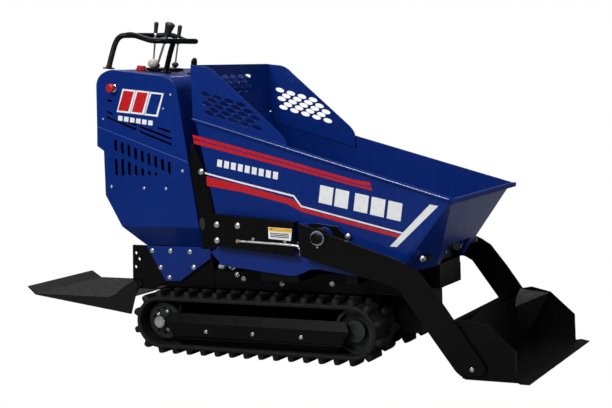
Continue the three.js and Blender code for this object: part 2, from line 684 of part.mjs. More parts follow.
/** Corner points of the hopper's body, drawn in by the wall thickness t. */
function hopperCorners(t, raise) {
  const y = (x) => hopperHalf(x) - t;
  const floor = HOPPER_FLOOR + t;
  return bothSides([
    [RIM_REAR[0] + t, y(RIM_REAR[0]), RIM_REAR[1] + raise],
    [-128 + t, y(-128), 543],
    [-105 + t, y(-105), 430],
    [-70 + t, y(-70) - 40, floor],
    [600 - t, y(600) - 6, floor],
    [648 - t, 205 - t, floor],
    [616 - t, y(616), 390],
    [RIM_FRONT[0] - t, y(RIM_FRONT[0]), RIM_FRONT[1] + raise],
    [RIM_FRONT[0] + 5 - t, 106 - t, RIM_FRONT[1] + raise],
    [676 - t, 135 - t, floor + 6],
  ]);
}

/** The rolled lip round the hopper's mouth, a strip on the sloping rim plane. */
function hopperRim() {
  const lift = 3;
  const strip = (from, to) => hull([...from, ...to]);
  const section = (x, y, outX, outY, z) => [
    [x, y, z + lift], [x + outX, y + outY, z + lift],
    [x, y, z - RIM_DROP], [x + outX, y + outY, z - RIM_DROP + 6],
  ];
  const parts = [];
  for (const [, side] of SIDES) {
    const yRear = side * (HOPPER_REAR_HALF - HOPPER_WALL);
    const yFront = side * (HOPPER_FRONT_HALF - HOPPER_WALL);
    parts.push(strip(
      section(RIM_REAR[0], yRear, 0, side * 14, RIM_REAR[1]),
      section(RIM_FRONT[0], yFront, 0, side * 9, RIM_FRONT[1]),
    ));
  }
  const halfFront = HOPPER_FRONT_HALF + 4;
  parts.push(strip(
    section(RIM_FRONT[0] - HOPPER_WALL, -halfFront, RIM_WIDTH, 0, RIM_FRONT[1]),
    section(RIM_FRONT[0] - HOPPER_WALL, halfFront, RIM_WIDTH, 0, RIM_FRONT[1]),
  ));
  return join(...parts);
}

/** The pocket in the prow's bottom that the yoke stands in, grown by the wall thickness t. */
function prowPocket(t) {
  return box(POCKET_REAR - t, RIM_FRONT[0], -POCKET_HALF - t, POCKET_HALF + t, HOPPER_FLOOR - 20, POCKET_TOP + t);
}

function hopperTub() {
  const shell = hull(hopperCorners(0, 0)).subtract(prowPocket(0));
  const hollow = hull(hopperCorners(HOPPER_WALL, 4)).subtract(prowPocket(HOPPER_WALL));
  let tub = shell.subtract(hollow).add(hopperRim());
  for (const [, side] of SIDES) {
    const ear = plate(side, [
      [HINGE[0] - 26, POCKET_TOP + 1], [HINGE[0] - 17, HINGE[1]], [HINGE[0] - 12, HINGE[1] - 12],
      [HINGE[0], HINGE[1] - 17], [HINGE[0] + 12, HINGE[1] - 12], [HINGE[0] + 17, HINGE[1]],
      [HINGE[0] + 22, POCKET_TOP + 1],
    ], HINGE_EAR_Y, HINGE_EAR_Y + HINGE_EAR_THICK);
    const lug = plate(side, [
      [TIP_EYE[0] - 60, HOPPER_FLOOR + 1], [TIP_EYE[0] - 20, TIP_EYE[1] - 18], [TIP_EYE[0] + 20, TIP_EYE[1] - 18],
      [TIP_EYE[0] + 60, HOPPER_FLOOR + 1],
    ], 24, 34);
    tub = join(tub, ear, lug)
      .subtract(bar(side, HINGE, HINGE_PIN_R + RUN, HINGE_EAR_Y - 1, HINGE_EAR_Y + HINGE_EAR_THICK + 1));
  }
  return tub;
}

/** Rows of oval holes for a guard panel, as bars to cut away. */
const HOLE = { width: 40, height: 17, pitchX: 49.5, pitchZ: 16.7 };
const REAR_HOLE = { width: 50, height: 15, pitchY: 59, pitchZ: 18.3 };

function ovalHole(side, x, z, slope, inner, outer) {
  const shape = new THREE.Shape();
  shape.absellipse(x, z, HOLE.width / 2, HOLE.height / 2, 0, 2 * Math.PI, false, -slope);
  const geometry = new THREE.ExtrudeGeometry(shape, { depth: outer - inner, bevelEnabled: false, curveSegments: 4 });
  geometry.rotateX(Math.PI / 2);
  geometry.translate(0, side > 0 ? outer : -inner, 0);
  return solid(geometry);
}

const RIM_SLOPE = (RIM_REAR[1] - RIM_FRONT[1]) / (RIM_FRONT[0] - RIM_REAR[0]);

/** Height of the rim line at a given x. */
function rimZ(x) {
  return RIM_REAR[1] - RIM_SLOPE * (x - RIM_REAR[0]);
}

/** Row and column of each oval hole, rows parallel to the rim. */
const HOLE_ROWS = [[0, 4], [0.5, 4], [0, 5], [0.5, 4], [0, 5]];
const REAR_ROWS = [[118, 5], [88.5, 4], [118, 5], [88.5, 4]];

function hopperGuardSide(side) {
  const outer = HOPPER_REAR_HALF - HOPPER_WALL - GAP;
  const shape = new THREE.Shape();
  shape.moveTo(-182, 852);
  shape.lineTo(-194, RIM_REAR[1] + 4);
  shape.lineTo(-211, RIM_REAR[1] + 4);
  shape.lineTo(-211, 1091);
  shape.lineTo(-150, 1083);
  shape.quadraticCurveTo(-120, 1078, -96, 1052);
  shape.lineTo(150, 836);
  shape.quadraticCurveTo(168, 820, 176, 800);
  shape.lineTo(176, rimZ(176) - 40);
  shape.closePath();
  let panel = sideExtrude(side, shape, outer - SHEET, outer);
  const slope = Math.atan(RIM_SLOPE);
  HOLE_ROWS.forEach(([shift, count], row) => {
    for (let column = 0; column < count; column += 1) {
      const x = -153 + (column + shift) * HOLE.pitchX + row * 3.25;
      const z = rimZ(x) + 100.5 - row * HOLE.pitchZ;
      panel = panel.subtract(ovalHole(side, x, z, slope, outer - SHEET - 1, outer + 1));
    }
  });
  return panel;
}

function hopperGuardRear() {
  const half = HOPPER_REAR_HALF - 2 * HOPPER_WALL - 3 * GAP;
  const front = -201;
  let panel = box(front - SHEET, front, -half, half, RIM_REAR[1] + 6, 1091);
  REAR_ROWS.forEach(([start, count], row) => {
    for (let column = 0; column < count; column += 1) {
      const geometry = new THREE.CylinderGeometry(REAR_HOLE.height / 2, REAR_HOLE.height / 2, 20, 12);
      geometry.rotateZ(Math.PI / 2);
      geometry.scale(1, REAR_HOLE.width / REAR_HOLE.height, 1);
      geometry.translate(front, start - column * REAR_HOLE.pitchY, 1044 - row * REAR_HOLE.pitchZ);
      panel = panel.subtract(solid(geometry));
    }
  });
  return panel;
}

function hingePin(side) {
  return join(
    bar(side, HINGE, HINGE_PIN_R, HINGE_EAR_Y - 8, CHEEK_OUTER + 3),
    bar(side, HINGE, HINGE_PIN_R + 4, HINGE_EAR_Y - 9, HINGE_EAR_Y - 1),
  );
}

// ---------------------------------------------------------------- cylinders
/** Point at a distance from one [x, z] point towards another. */
function towards([x0, z0], [x1, z1], distance) {
  const length = Math.hypot(x1 - x0, z1 - z0);
  return [x0 + (x1 - x0) * distance / length, z0 + (z1 - z0) * distance / length];
}

/** A cylinder barrel with its base eye, bored for the rod. */
function barrel(y, base, end, radius, boreR, length, eyeR, eyeHalf, pinR) {
  const at = (d) => {
    const [x, z] = towards(base, end, d);
    return [x, y, z];
  };
  const eye = rod([base[0], y - eyeHalf, base[1]], [base[0], y + eyeHalf, base[1]], eyeR);
  return join(rod(at(eyeR * 0.6), at(length), radius), eye)
    .subtract(rod(at(eyeR * 2), at(length + 1), boreR))
    .subtract(rod([base[0], y - eyeHalf - 1, base[1]], [base[0], y + eyeHalf + 1, base[1]], pinR));
}

/** A piston rod reaching from inside its barrel to its end eye. */
function pistonRod(y, base, end, start, radius, eyeR, eyeHalf, pinR) {
  const length = Math.hypot(end[0] - base[0], end[1] - base[1]);
  const at = (d) => {
    const [x, z] = towards(base, end, d);
    return [x, y, z];
  };
  const eye = rod([end[0], y - eyeHalf, end[1]], [end[0], y + eyeHalf, end[1]], eyeR);
  return join(rod(at(start), at(length - eyeR * 0.5), radius), eye)
    .subtract(rod([end[0], y - eyeHalf - 1, end[1]], [end[0], y + eyeHalf + 1, end[1]], pinR));
}

// ---------------------------------------------------------------- loader
const LOADER_PLATE = [
  [-118, 520], [-118, 414], [-145, 400], [-100, 352], [173, 323], [206, 324], [240, 336], [261, 347],
  [295, 350], [447, 329], [447, 430], [380, 505], [300, 515],
];

function loaderPlate(side) {
  const outer = LOADER_PLATE_Y + LOADER_PLATE_THICK;
  return join(
    plate(side, LOADER_PLATE, LOADER_PLATE_Y, outer),
    bar(side, ARM_PIVOT, 34, outer - 1, CYLINDER_Y - LIFT_ROD_R - 2),
    bar(side, ARM_PIVOT, ARM_PIN_R, outer - 1, ARM_INNER + ARM_THICK + 14),
    bar(side, LIFT_BASE, 8, outer - 1, CYLINDER_Y + 14),
  );
}

/** The folded guard over a lift cylinder. */
function cylinderGuard(side) {
  const inner = LOADER_PLATE_Y + LOADER_PLATE_THICK + GAP;
  const face = ARM_INNER - 9;
  const wall = 4;
  const corners = [[-106, 545], [225, 521], [221, 399], [-111, 430]];
  const slab = (a, b, from, to) => {
    const [xa, za] = corners[a];
    const [xb, zb] = corners[b];
    const drop = a === 0 ? -wall : wall;
    return hull([
      [xa, side * from, za], [xb, side * from, zb], [xa, side * to, za], [xb, side * to, zb],
      [xa, side * from, za + drop], [xb, side * from, zb + drop], [xa, side * to, za + drop], [xb, side * to, zb + drop],
    ]);
  };
  return join(
    plate(side, corners, face, face + wall),
    slab(0, 1, inner, face + 1),
    slab(3, 2, face - 5, face + 1),
    plate(side, [[-106, 545], [-102, 545], [-107, 430], [-111, 430]], inner, face + 1),
  );
}

const ARM = [
  [249, 520], [562, 420], [614, 405], [665, 383], [702, 360], [765, 281], [835, 183], [930, 52],
  [931, 34], [918, 20], [846, 12], [826, 28], [753, 126], [628, 297], [600, 312], [486, 338], [256, 403],
];

function loaderArms() {
  const parts = [];
  for (const [, side] of SIDES) {
    const outer = ARM_INNER + ARM_THICK;
    parts.push(
      plate(side, ARM, ARM_INNER, outer),
      bar(side, ARM_PIVOT, 36, ARM_INNER - 6, outer + 4),
      bar(side, LIFT_EYE, 14, CYLINDER_Y + 10, ARM_INNER + 1),
      bar(side, SHOVEL_BOLT, SHOVEL_PIN_R, SHOVEL_SIDE - 6, ARM_INNER + 1),
    );
  }
  parts.push(rod([ARM_TUBE[0], -ARM_INNER - 1, ARM_TUBE[1]], [ARM_TUBE[0], ARM_INNER + 1, ARM_TUBE[1]], 14));
  let arms = join(...parts);
  for (const [, side] of SIDES) {
    arms = arms.subtract(bar(side, ARM_PIVOT, ARM_PIN_R + RUN, ARM_INNER - 10, ARM_INNER + 40));
  }
  return arms;
}

// ---------------------------------------------------------------- shovel
const SHOVEL_SIDE_PLATE = [
  [845, 3], [818, 120], [826, 196], [866, 204], [940, 187], [1032, 105], [1034, 3],
];

function shovel() {
  const outer = SHOVEL_SIDE + PLATE;
  const backFoot = [852, 3];
  const backTop = [813, 166];
  const crownTop = [807, 194];
  const parts = [
    box(852, 1040, -outer, outer, 0, 8),
    hull(bothSides([[1038, outer, 0], [1038, outer, 8], [1050, SHOVEL_HALF, 0], [1050, SHOVEL_HALF, 8],
      [SHOVEL_TIP_X, SHOVEL_HALF, 0], [SHOVEL_TIP_X, SHOVEL_HALF, 2.5]])),
    hull(bothSides([[backFoot[0], outer, 0], [backFoot[0] + 8, outer, 0],
      [backTop[0], outer, backTop[1]], [backTop[0] + 8, outer, backTop[1]]])),
    hull(bothSides([[backTop[0], 250, backTop[1] - 4], [backTop[0] + 8, 250, backTop[1] - 4],
      [crownTop[0], 60, crownTop[1]], [crownTop[0] + 8, 60, crownTop[1]]])),
  ];
  for (const [, side] of SIDES) {
    parts.push(plate(side, SHOVEL_SIDE_PLATE, SHOVEL_SIDE, outer));
    parts.push(hull([
      [822, side * SHOVEL_SIDE, 196], [936, side * SHOVEL_SIDE, 184], [872, side * SHOVEL_SIDE, 20],
      [818, side * 262, 136], [852, side * 300, 8],
      [822, side * (SHOVEL_SIDE + 3), 196], [936, side * (SHOVEL_SIDE + 3), 184],
    ]));
  }
  const scoop = join(...parts);
  const bores = SIDES.map(([, side]) => bar(side, SHOVEL_BOLT, SHOVEL_PIN_R + RUN, SHOVEL_SIDE - 12, outer + 1));
  return scoop.subtract(join(...bores));
}

// ---------------------------------------------------------------- platform
function platform() {
  const wall = 5;
  const flangeReach = 41;
  const flangeRise = 29;
  const [hingeX, hingeZ] = PLATFORM_HINGE;
  const cheek = [
    [PLATFORM_REAR, PLATFORM_TOP - wall], [PLATFORM_REAR, PLATFORM_TOP], [-690, PLATFORM_TOP], [-655, 203],
    [-600, 242], [hingeX - 10, hingeZ + 19], [hingeX + 12, hingeZ + 17], [hingeX + 19, hingeZ - 6],
    [hingeX - 3, hingeZ - 36], [-577, 132], [-640, 140],
  ];
  const parts = [
    box(PLATFORM_REAR, PLATFORM_FRONT, -PLATFORM_HALF, PLATFORM_HALF, PLATFORM_TOP - wall, PLATFORM_TOP),
    hull(bothSides([
      [PLATFORM_REAR, PLATFORM_HALF, PLATFORM_TOP - wall], [PLATFORM_REAR + wall, PLATFORM_HALF, PLATFORM_TOP],
      [PLATFORM_REAR - flangeReach, PLATFORM_HALF - 4, PLATFORM_TOP + flangeRise - 3],
      [PLATFORM_REAR - flangeReach + 3, PLATFORM_HALF - 4, PLATFORM_TOP + flangeRise],
    ])),
    rod([hingeX, -DECK_HALF, hingeZ], [hingeX, DECK_HALF, hingeZ], PLATFORM_PIN_R + 3),
  ];
  for (const [, side] of SIDES) {
    parts.push(
      plate(side, cheek, PLATFORM_HALF - wall, PLATFORM_HALF),
      bar(side, PLATFORM_HINGE, PLATFORM_PIN_R, DECK_HALF - 5, PLATFORM_HALF + 8),
      bar(side, PLATFORM_HINGE, 16, PLATFORM_HALF - 1, PLATFORM_HALF + 7, 6),
    );
  }
  return join(...parts);
}

// ---------------------------------------------------------------- posts behind the hopper
const POST = [
  [-226, 800], [-212, 800], [-178, 724], [-163, 700], [-140, 560], [-134, 440], [-134, 408], [-196, 408],
  [-196, 480], [-230, 730],
];

// ---------------------------------------------------------------- the machine
piece('chassis_frame', chassisFrame(), BLACK);
for (const [word, side] of SIDES) {
  piece(`track_beam_${word}`, trackBeam(side), BLACK);
  piece(`track_cover_${word}`, trackCover(side), BLACK);
  piece(`track_belt_${word}`, trackBelt(side), RUBBER);
  piece(`drive_motor_${word}`, driveMotor(side), CAST);
  piece(`drive_sprocket_${word}`, sprocket(side), CAST);
  piece(`idler_wheel_${word}`, idler(side), CAST);
  piece(`bottom_roller_${word}_rear`, roller(side, ROLLER_X[0]), CAST);
  piece(`bottom_roller_${word}_front`, roller(side, ROLLER_X[1]), CAST);
  piece(`console_upper_panel_${word}`,
    sideExtrude(side, upperPanelShape(0), CONSOLE_HALF - SHEET, CONSOLE_HALF), BLUE);
  piece(`console_lower_panel_${word}`, plate(side, LOWER_PANEL, CONSOLE_HALF - SHEET, CONSOLE_HALF), BLUE);
  piece(`console_apron_${word}`, plate(side, APRON, APRON_INNER, APRON_INNER + PLATE - 2), BLUE);
  piece(`rear_bracket_${word}`, rearBracket(side), BLACK);
  piece(`hopper_post_${word}`, plate(side, POST, CONSOLE_HALF - 12, CONSOLE_HALF - 4), BLACK);
  piece(`hopper_guard_${word}`, hopperGuardSide(side), BLUE);
  piece(`hopper_hinge_pin_${word}`, hingePin(side), STEEL);
  piece(`loader_plate_${word}`, loaderPlate(side), BLUE);
  piece(`cylinder_guard_${word}`, cylinderGuard(side), BLACK);
  piece(`lift_barrel_${word}`,
    barrel(side * CYLINDER_Y, LIFT_BASE, LIFT_EYE, LIFT_BARREL_R, LIFT_ROD_R + RUN, 300, 15, 8, 8 + RUN), BLACK);
  piece(`lift_rod_${word}`, pistonRod(side * CYLINDER_Y, LIFT_BASE, LIFT_EYE, 150, LIFT_ROD_R, 15, 8, 8), CHROME);
}
piece('console_hood', consoleHood(), BLUE);
piece('console_rear_cover', rearCover(), BLUE);
piece('console_base_pan', basePan(), BLUE);
piece('engine_block', engineBlock(), CAST);
piece('fuel_tank', fuelTank(), PLASTIC);
piece('fuel_cap', fuelCap(), RED);
piece('hydraulic_tank', hydraulicTank(), CAST);
piece('exhaust_pipe', exhaustPipe(), BLACK);
piece('lever_plate', leverPlate(), BLACK);
piece('drive_lever_right',
  lever(DRIVE_LEVER_RIGHT, 22, 4, 24, { foot: 1222, top: 1266, footR: 8, topR: 9 }), PLASTIC);
piece('drive_lever_left',
  lever(DRIVE_LEVER_LEFT, 14, 4, 32, { foot: 1205, top: 1256, footR: 8, topR: 9 }), PLASTIC);
piece('main_lever',
  lever(MAIN_LEVER, 11, 5, 72, { foot: 1208, top: 1262, footR: 13, topR: 20 }), PLASTIC);
piece('handle_guard', handleGuard(), BLACK);
piece('stop_knob', stopKnob(), RED);
piece('hopper_tub', hopperTub(), BLUE);
piece('hopper_guard_rear', hopperGuardRear(), BLUE);
piece('tip_barrel', barrel(0, TIP_BASE, TIP_EYE, TIP_BARREL_R, TIP_ROD_R + RUN, 330, 24, 26, TIP_PIN_R + RUN), BLACK);
piece('tip_rod', pistonRod(0, TIP_BASE, TIP_EYE, 150, TIP_ROD_R, 20, 18, TIP_PIN_R), CHROME);
piece('loader_arms', loaderArms(), BLACK);
piece('shovel', shovel(), BLACK);
piece('platform', platform(), BLACK);

export default machine;
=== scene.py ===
"""Looks of a tracked self-loading power wheelbarrow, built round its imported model.

Metres in the model's own frame: +X forward to the shovel, +Y to the machine's left, +Z up, ground at Z = 0.
"""
import json
import math
import bpy
import numpy as np
from mathutils import Matrix


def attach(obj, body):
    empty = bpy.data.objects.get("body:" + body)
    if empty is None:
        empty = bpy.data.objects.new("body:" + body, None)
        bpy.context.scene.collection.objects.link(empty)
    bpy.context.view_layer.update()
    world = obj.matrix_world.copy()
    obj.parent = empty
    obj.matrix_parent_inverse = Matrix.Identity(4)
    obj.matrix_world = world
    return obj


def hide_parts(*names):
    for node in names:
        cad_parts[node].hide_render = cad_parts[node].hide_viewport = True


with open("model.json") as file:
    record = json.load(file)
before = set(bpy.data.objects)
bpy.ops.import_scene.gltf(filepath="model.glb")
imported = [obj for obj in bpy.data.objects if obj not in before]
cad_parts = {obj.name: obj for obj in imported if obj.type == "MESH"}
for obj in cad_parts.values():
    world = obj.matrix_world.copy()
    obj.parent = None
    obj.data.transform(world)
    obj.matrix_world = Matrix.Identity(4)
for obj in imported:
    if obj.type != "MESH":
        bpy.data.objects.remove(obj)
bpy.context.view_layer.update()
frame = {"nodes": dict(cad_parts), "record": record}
nodes = frame["nodes"]
MM = 0.001
SIDES = (("right", -1), ("left", 1))


# ------------------------------------------------ finishes
class Finish:
    """A material being built: its node tree, its shader and the object's own coordinates."""

    def __init__(self, name, color, roughness, metallic=0.0, **sockets):
        self.material = bpy.data.materials.new(name)
        self.material.use_nodes = True
        self.tree = self.material.node_tree
        self.shader = self.tree.nodes["Principled BSDF"]
        self.place = self.tree.nodes.new("ShaderNodeTexCoord").outputs["Object"]
        self.color = color
        self.shader.inputs["Base Color"].default_value = (*color, 1)
        self.shader.inputs["Roughness"].default_value = roughness
        self.shader.inputs["Metallic"].default_value = metallic
        for socket, value in sockets.items():
            self.shader.inputs[socket.replace("_", " ")].default_value = value
        self.height = None

    def link(self, out, into):
        """Joins an output socket to an input socket."""
        self.tree.links.new(out, into)

    def mapped(self, stretch):
        """The object's coordinates, scaled by a vector."""
        node = self.tree.nodes.new("ShaderNodeMapping")
        node.inputs["Scale"].default_value = stretch
        self.link(self.place, node.inputs["Vector"])
        return node.outputs["Vector"]

    def noise(self, scale, detail=3.0, roughness=0.55, stretch=(1, 1, 1)):
        """Cloudy noise over the object's coordinates; scale is blotches to the metre."""
        node = self.tree.nodes.new("ShaderNodeTexNoise")
        node.inputs["Scale"].default_value = scale
        node.inputs["Detail"].default_value = detail
        node.inputs["Roughness"].default_value = roughness
        self.link(self.mapped(stretch), node.inputs["Vector"])
        return node.outputs["Fac"]

    def cells(self, scale):
        """A colour for each cell of a random honeycomb."""
        node = self.tree.nodes.new("ShaderNodeTexVoronoi")
        node.inputs["Scale"].default_value = scale
        self.link(self.place, node.inputs["Vector"])
        return node.outputs["Color"]

    def ramp(self, value, *stops):
        """Colours at places along a value: (place, colour) pairs."""
        node = self.tree.nodes.new("ShaderNodeValToRGB")
        while len(node.color_ramp.elements) < len(stops):
            node.color_ramp.elements.new(0.5)
        for element, (place, color) in zip(node.color_ramp.elements, stops):
            element.position = place
            element.color = (*color, 1) if isinstance(color, tuple) else (color, color, color, 1)
        self.link(value, node.inputs["Fac"])
        return node.outputs["Color"]

    def vary_color(self, value, low, high, start=0.35, end=0.65):
        """Shades the base colour from low to high times itself over a noise."""
        dark = tuple(c * low for c in self.color)
        light = tuple(min(c * high + 0.001 * high, 1.0) for c in self.color)
        self.link(self.ramp(value, (start, dark), (end, light)), self.shader.inputs["Base Color"])
        return self

    def vary_roughness(self, value, low, high):
        """Moves the roughness from low to high over a noise."""
        self.link(self.ramp(value, (0.3, low), (0.7, high)), self.shader.inputs["Roughness"])
        return self

    def bump(self, value, distance, strength=1.0):
        """Adds a bump of a height in metres on top of what is there."""
        node = self.tree.nodes.new("ShaderNodeBump")
        node.inputs["Distance"].default_value = distance
        node.inputs["Strength"].default_value = strength
        self.link(value, node.inputs["Height"])
        if self.height is not None:
            self.link(self.height, node.inputs["Normal"])
        self.height = node.outputs["Normal"]
        self.link(self.height, self.shader.inputs["Normal"])
        return self


def powder_coat(name, color, low, high, gloss_coat, shine=0.2):
    """Sprayed powder: faint orange peel, a slow swell of the sheet and a clear top gloss."""
    finish = Finish(
        name, color, (low + high) / 2,
        Coat_Weight=gloss_coat, Coat_Roughness=0.12, Specular_IOR_Level=shine,
    )
    finish.vary_color(finish.noise(2.2, 4), 0.93, 1.08)
    finish.vary_roughness(finish.noise(38, 4), low, high)
    finish.bump(finish.noise(5.5, 2), 0.0012, 0.5)
    finish.bump(finish.noise(600, 2), 0.000006, 0.2)
    return finish.material


def track_rubber():
    """Dull rubber: dusty blotches over a coarse grain and a fine one."""
    finish = Finish("track_rubber", (0.0045, 0.0046, 0.005), 0.62, Specular_IOR_Level=0.22)
    finish.vary_color(finish.noise(34, 6, 0.7), 0.6, 2.1, 0.3, 0.75)
    finish.vary_roughness(finish.noise(60, 4), 0.5, 0.78)
    finish.bump(finish.noise(210, 5, 0.7), 0.0006, 0.7)
    finish.bump(finish.noise(1500, 3), 0.0001, 0.5)
    return finish.material


def cast_metal():
    """Painted casting: sandy bumps and slightly uneven gloss."""
    finish = Finish("cast_iron", (0.012, 0.0125, 0.0135), 0.5, 0.3)
    finish.vary_color(finish.noise(18, 5), 0.7, 1.7)
    finish.vary_roughness(finish.noise(45, 3), 0.38, 0.62)
    finish.bump(finish.noise(420, 4, 0.7), 0.00035, 0.8)
    return finish.material


def zinc_plate():
    """Bright zinc: small spangles of slightly different grey."""
    finish = Finish("zinc_plate", (0.63, 0.64, 0.65), 0.3, 0.92)
    finish.vary_color(finish.cells(900), 0.72, 1.1, 0.1, 0.9)
    finish.vary_roughness(finish.noise(260, 3), 0.22, 0.42)
    finish.bump(finish.noise(1400, 3), 0.00004, 0.6)
    return finish.material


def hard_chrome():
    """Polished rod: fine marks drawn out along X."""
    finish = Finish("hard_chrome", (0.78, 0.79, 0.81), 0.1, 1.0)
    finish.vary_roughness(finish.noise(700, 3, stretch=(0.05, 1, 1)), 0.06, 0.16)
    finish.bump(finish.noise(1800, 2, stretch=(0.03, 1, 1)), 0.00001, 0.5)
    return finish.material


def yellow_brass():
    """Machined brass, a little dulled in places."""
    finish = Finish("brass_fitting", (0.58, 0.42, 0.16), 0.3, 0.95)
    finish.vary_color(finish.noise(160, 3), 0.75, 1.15)
    finish.vary_roughness(finish.noise(300, 3), 0.2, 0.42)
    finish.bump(finish.noise(1200, 2), 0.00003, 0.5)
    return finish.material


def moulded(name, color, low, high, grain):
    """Moulded plastic: fine leather-like grain over an even colour."""
    finish = Finish(name, color, (low + high) / 2, Specular_IOR_Level=0.45)
    finish.vary_color(finish.noise(40, 3), 0.88, 1.15)
    finish.vary_roughness(finish.noise(120, 3), low, high)
    finish.bump(finish.noise(grain, 4, 0.65), 0.00012, 0.7)
    return finish.material


def vinyl(name, color):
    """Printed vinyl: a smooth film with a trace of ink mottle and the sheet's swell under it."""
    finish = Finish(name, color, 0.3, Coat_Weight=0.25, Coat_Roughness=0.15)
    finish.vary_color(finish.noise(60, 3), 0.95, 1.04)
    finish.vary_roughness(finish.noise(90, 3), 0.24, 0.38)
    finish.bump(finish.noise(1100, 2), 0.00003, 0.5)
    return finish.material


BLUE = powder_coat("blue_powder_coat", (0.0004, 0.0185, 0.165), 0.26, 0.36, 0.15)
BLACK = powder_coat("black_powder_coat", (0.0012, 0.0012, 0.0014), 0.32, 0.44, 0.0, 0.12)
# A lighter blue that is a painted highlight, used for the seam and rim beads.
PAINTED_HIGHLIGHT = powder_coat("blue_painted_highlight", (0.05, 0.1, 0.34), 0.2, 0.3, 0.3)
TREAD = powder_coat("tread_plate_coat", (0.005, 0.005, 0.0054), 0.5, 0.64, 0.0)
RUBBER = track_rubber()
CAST = cast_metal()
ZINC = zinc_plate()
CHROME = hard_chrome()
BRASS = yellow_brass()
GRIP = moulded("black_grip", (0.011, 0.011, 0.012), 0.38, 0.55, 900)
TANK = moulded("black_tank", (0.014, 0.014, 0.015), 0.45, 0.6, 500)
RED = moulded("red_plastic", (0.42, 0.008, 0.012), 0.22, 0.34, 1500)
BALL = moulded("lever_ball", (0.46, 0.43, 0.36), 0.24, 0.4, 700)
RED_FILM = vinyl("red_film", (0.5, 0.005, 0.011))
WHITE_FILM = vinyl("white_film", (0.82, 0.83, 0.84))
YELLOW_FILM = vinyl("yellow_film", (0.78, 0.44, 0.02))
INK = vinyl("dark_ink", (0.02, 0.02, 0.022))

SLOT_FINISH = {
    "blue_paint": BLUE, "black_paint": BLACK, "rubber": RUBBER, "zinc_steel": ZINC, "chrome": CHROME,
    "cast_iron": CAST, "red_plastic": RED, "black_plastic": TANK,
}


# ------------------------------------------------ making pieces
def finish_piece(obj, material, body, replaces=()):
    """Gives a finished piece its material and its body."""
    obj.data.materials.clear()
    obj.data.materials.append(material)
    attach(obj, body)
    if replaces:
        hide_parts(*replaces)
    return obj


def mesh_piece(name, parts, material, body, replaces=(), smooth=38):
    """One object from (vertices, faces) parts; edges sharper than smooth degrees stay crisp."""
    points = np.concatenate([np.asarray(v, float).reshape(-1, 3) for v, _ in parts])
    faces = []
    start = 0
    for vertices, part_faces in parts:
        faces += [tuple(int(i) + start for i in face) for face in part_faces]
        start += len(np.asarray(vertices).reshape(-1, 3))
    mesh = bpy.data.meshes.new(name)
    mesh.from_pydata(points.tolist(), [], faces)
    mesh.update()
    mesh.polygons.foreach_set("use_smooth", np.ones(len(mesh.polygons), bool))
    mesh.set_sharp_from_angle(angle=math.radians(smooth))
    obj = bpy.data.objects.new(name, mesh)
    bpy.context.collection.objects.link(obj)
    return finish_piece(obj, material, body, replaces)


def weave(rows, columns, close_rows=False, close_columns=False):
    """Quads of a grid of points, numbered row by row."""
    r = np.arange(rows if close_rows else rows - 1)
    c = np.arange(columns if close_columns else columns - 1)
    r, c = np.meshgrid(r, c, indexing="ij")
    r2 = (r + 1) % rows
    c2 = (c + 1) % columns
    quads = np.stack([r * columns + c, r * columns + c2, r2 * columns + c2, r2 * columns + c], -1)
    return quads.reshape(-1, 4)


def turned(profile, at, axis, segments=20, corners=0):
    """A turned shape: (radius, height) pairs swept round an axis through at.

    A pair with a third value is a ring of bar stock with as many corners as corners says: its radius is half
    the width over flats, divided by the cosine of the angle from the nearest flat's middle.
    """
    axis = np.asarray(axis, float) / np.linalg.norm(axis)
    helper = np.array([0.0, 0.0, 1.0]) if abs(axis[2]) < 0.9 else np.array([1.0, 0.0, 0.0])
    u = np.cross(helper, axis)
    u /= np.linalg.norm(u)
    v = np.cross(axis, u)
    angle = np.linspace(0, 2 * np.pi, segments, endpoint=False)
    spoke = np.cos(angle)[:, None] * u + np.sin(angle)[:, None] * v
    rings = []
    for radius, height, *kind in profile:
        reach = np.full(segments, float(radius))
        if kind and corners:
            step = 2 * np.pi / corners
            reach = radius / np.cos((angle + step / 2) % step - step / 2)
        rings.append(np.asarray(at) + height * axis + reach[:, None] * spoke)
    points = np.concatenate(rings)
    faces = [tuple(q) for q in weave(len(profile), segments, close_columns=True)]
    last = (len(profile) - 1) * segments
    faces.append(tuple(range(segments - 1, -1, -1)))
    faces.append(tuple(range(last, last + segments)))
    return points, faces


def turned_piece(name, profile, at, axis, segments, material, body, replaces=()):
    """A piece that is one turned shape."""
    return mesh_piece(name, [turned(profile, at, axis, segments)], material, body, replaces)


def hex_bolt(at, axis, size, rise=0.65):
    """A flanged bolt head: washer disc, six-sided head with a chamfer. size is half the width over flats."""
    s = size
    h = size * rise
    seat = 0.27 * s
    return turned([
        (1.55 * s, -0.0006), (1.55 * s, 0.16 * s), (1.42 * s, 0.24 * s), (1.02 * s, 0.26 * s),
        (0.9 * s, seat, 1), (0.9 * s, seat + h * 0.85, 1), (0.74 * s, seat + h), (0.3 * s, seat + h * 1.02),
    ], at, axis, 18, 6)


def cap_screw(at, axis, radius):
    """A domed button head with a six-sided socket."""
    r = radius
    return turned([
        (r, -0.0005), (r, 0.18 * r), (0.93 * r, 0.36 * r), (0.72 * r, 0.55 * r), (0.5 * r, 0.62 * r),
        (0.38 * r, 0.6 * r, 1), (0.36 * r, 0.28 * r, 1),
    ], at, axis, 18, 6)


def catmull_rom(a, b, c, d, s):
    """The cubic from b to c at share s, whose ends head along the chords from a to c and from b to d."""
    square = (2 * a - 5 * b + 4 * c - d) * s ** 2
    return 0.5 * (2 * b + (c - a) * s + square + (3 * b - a - 3 * c + d) * s ** 3)


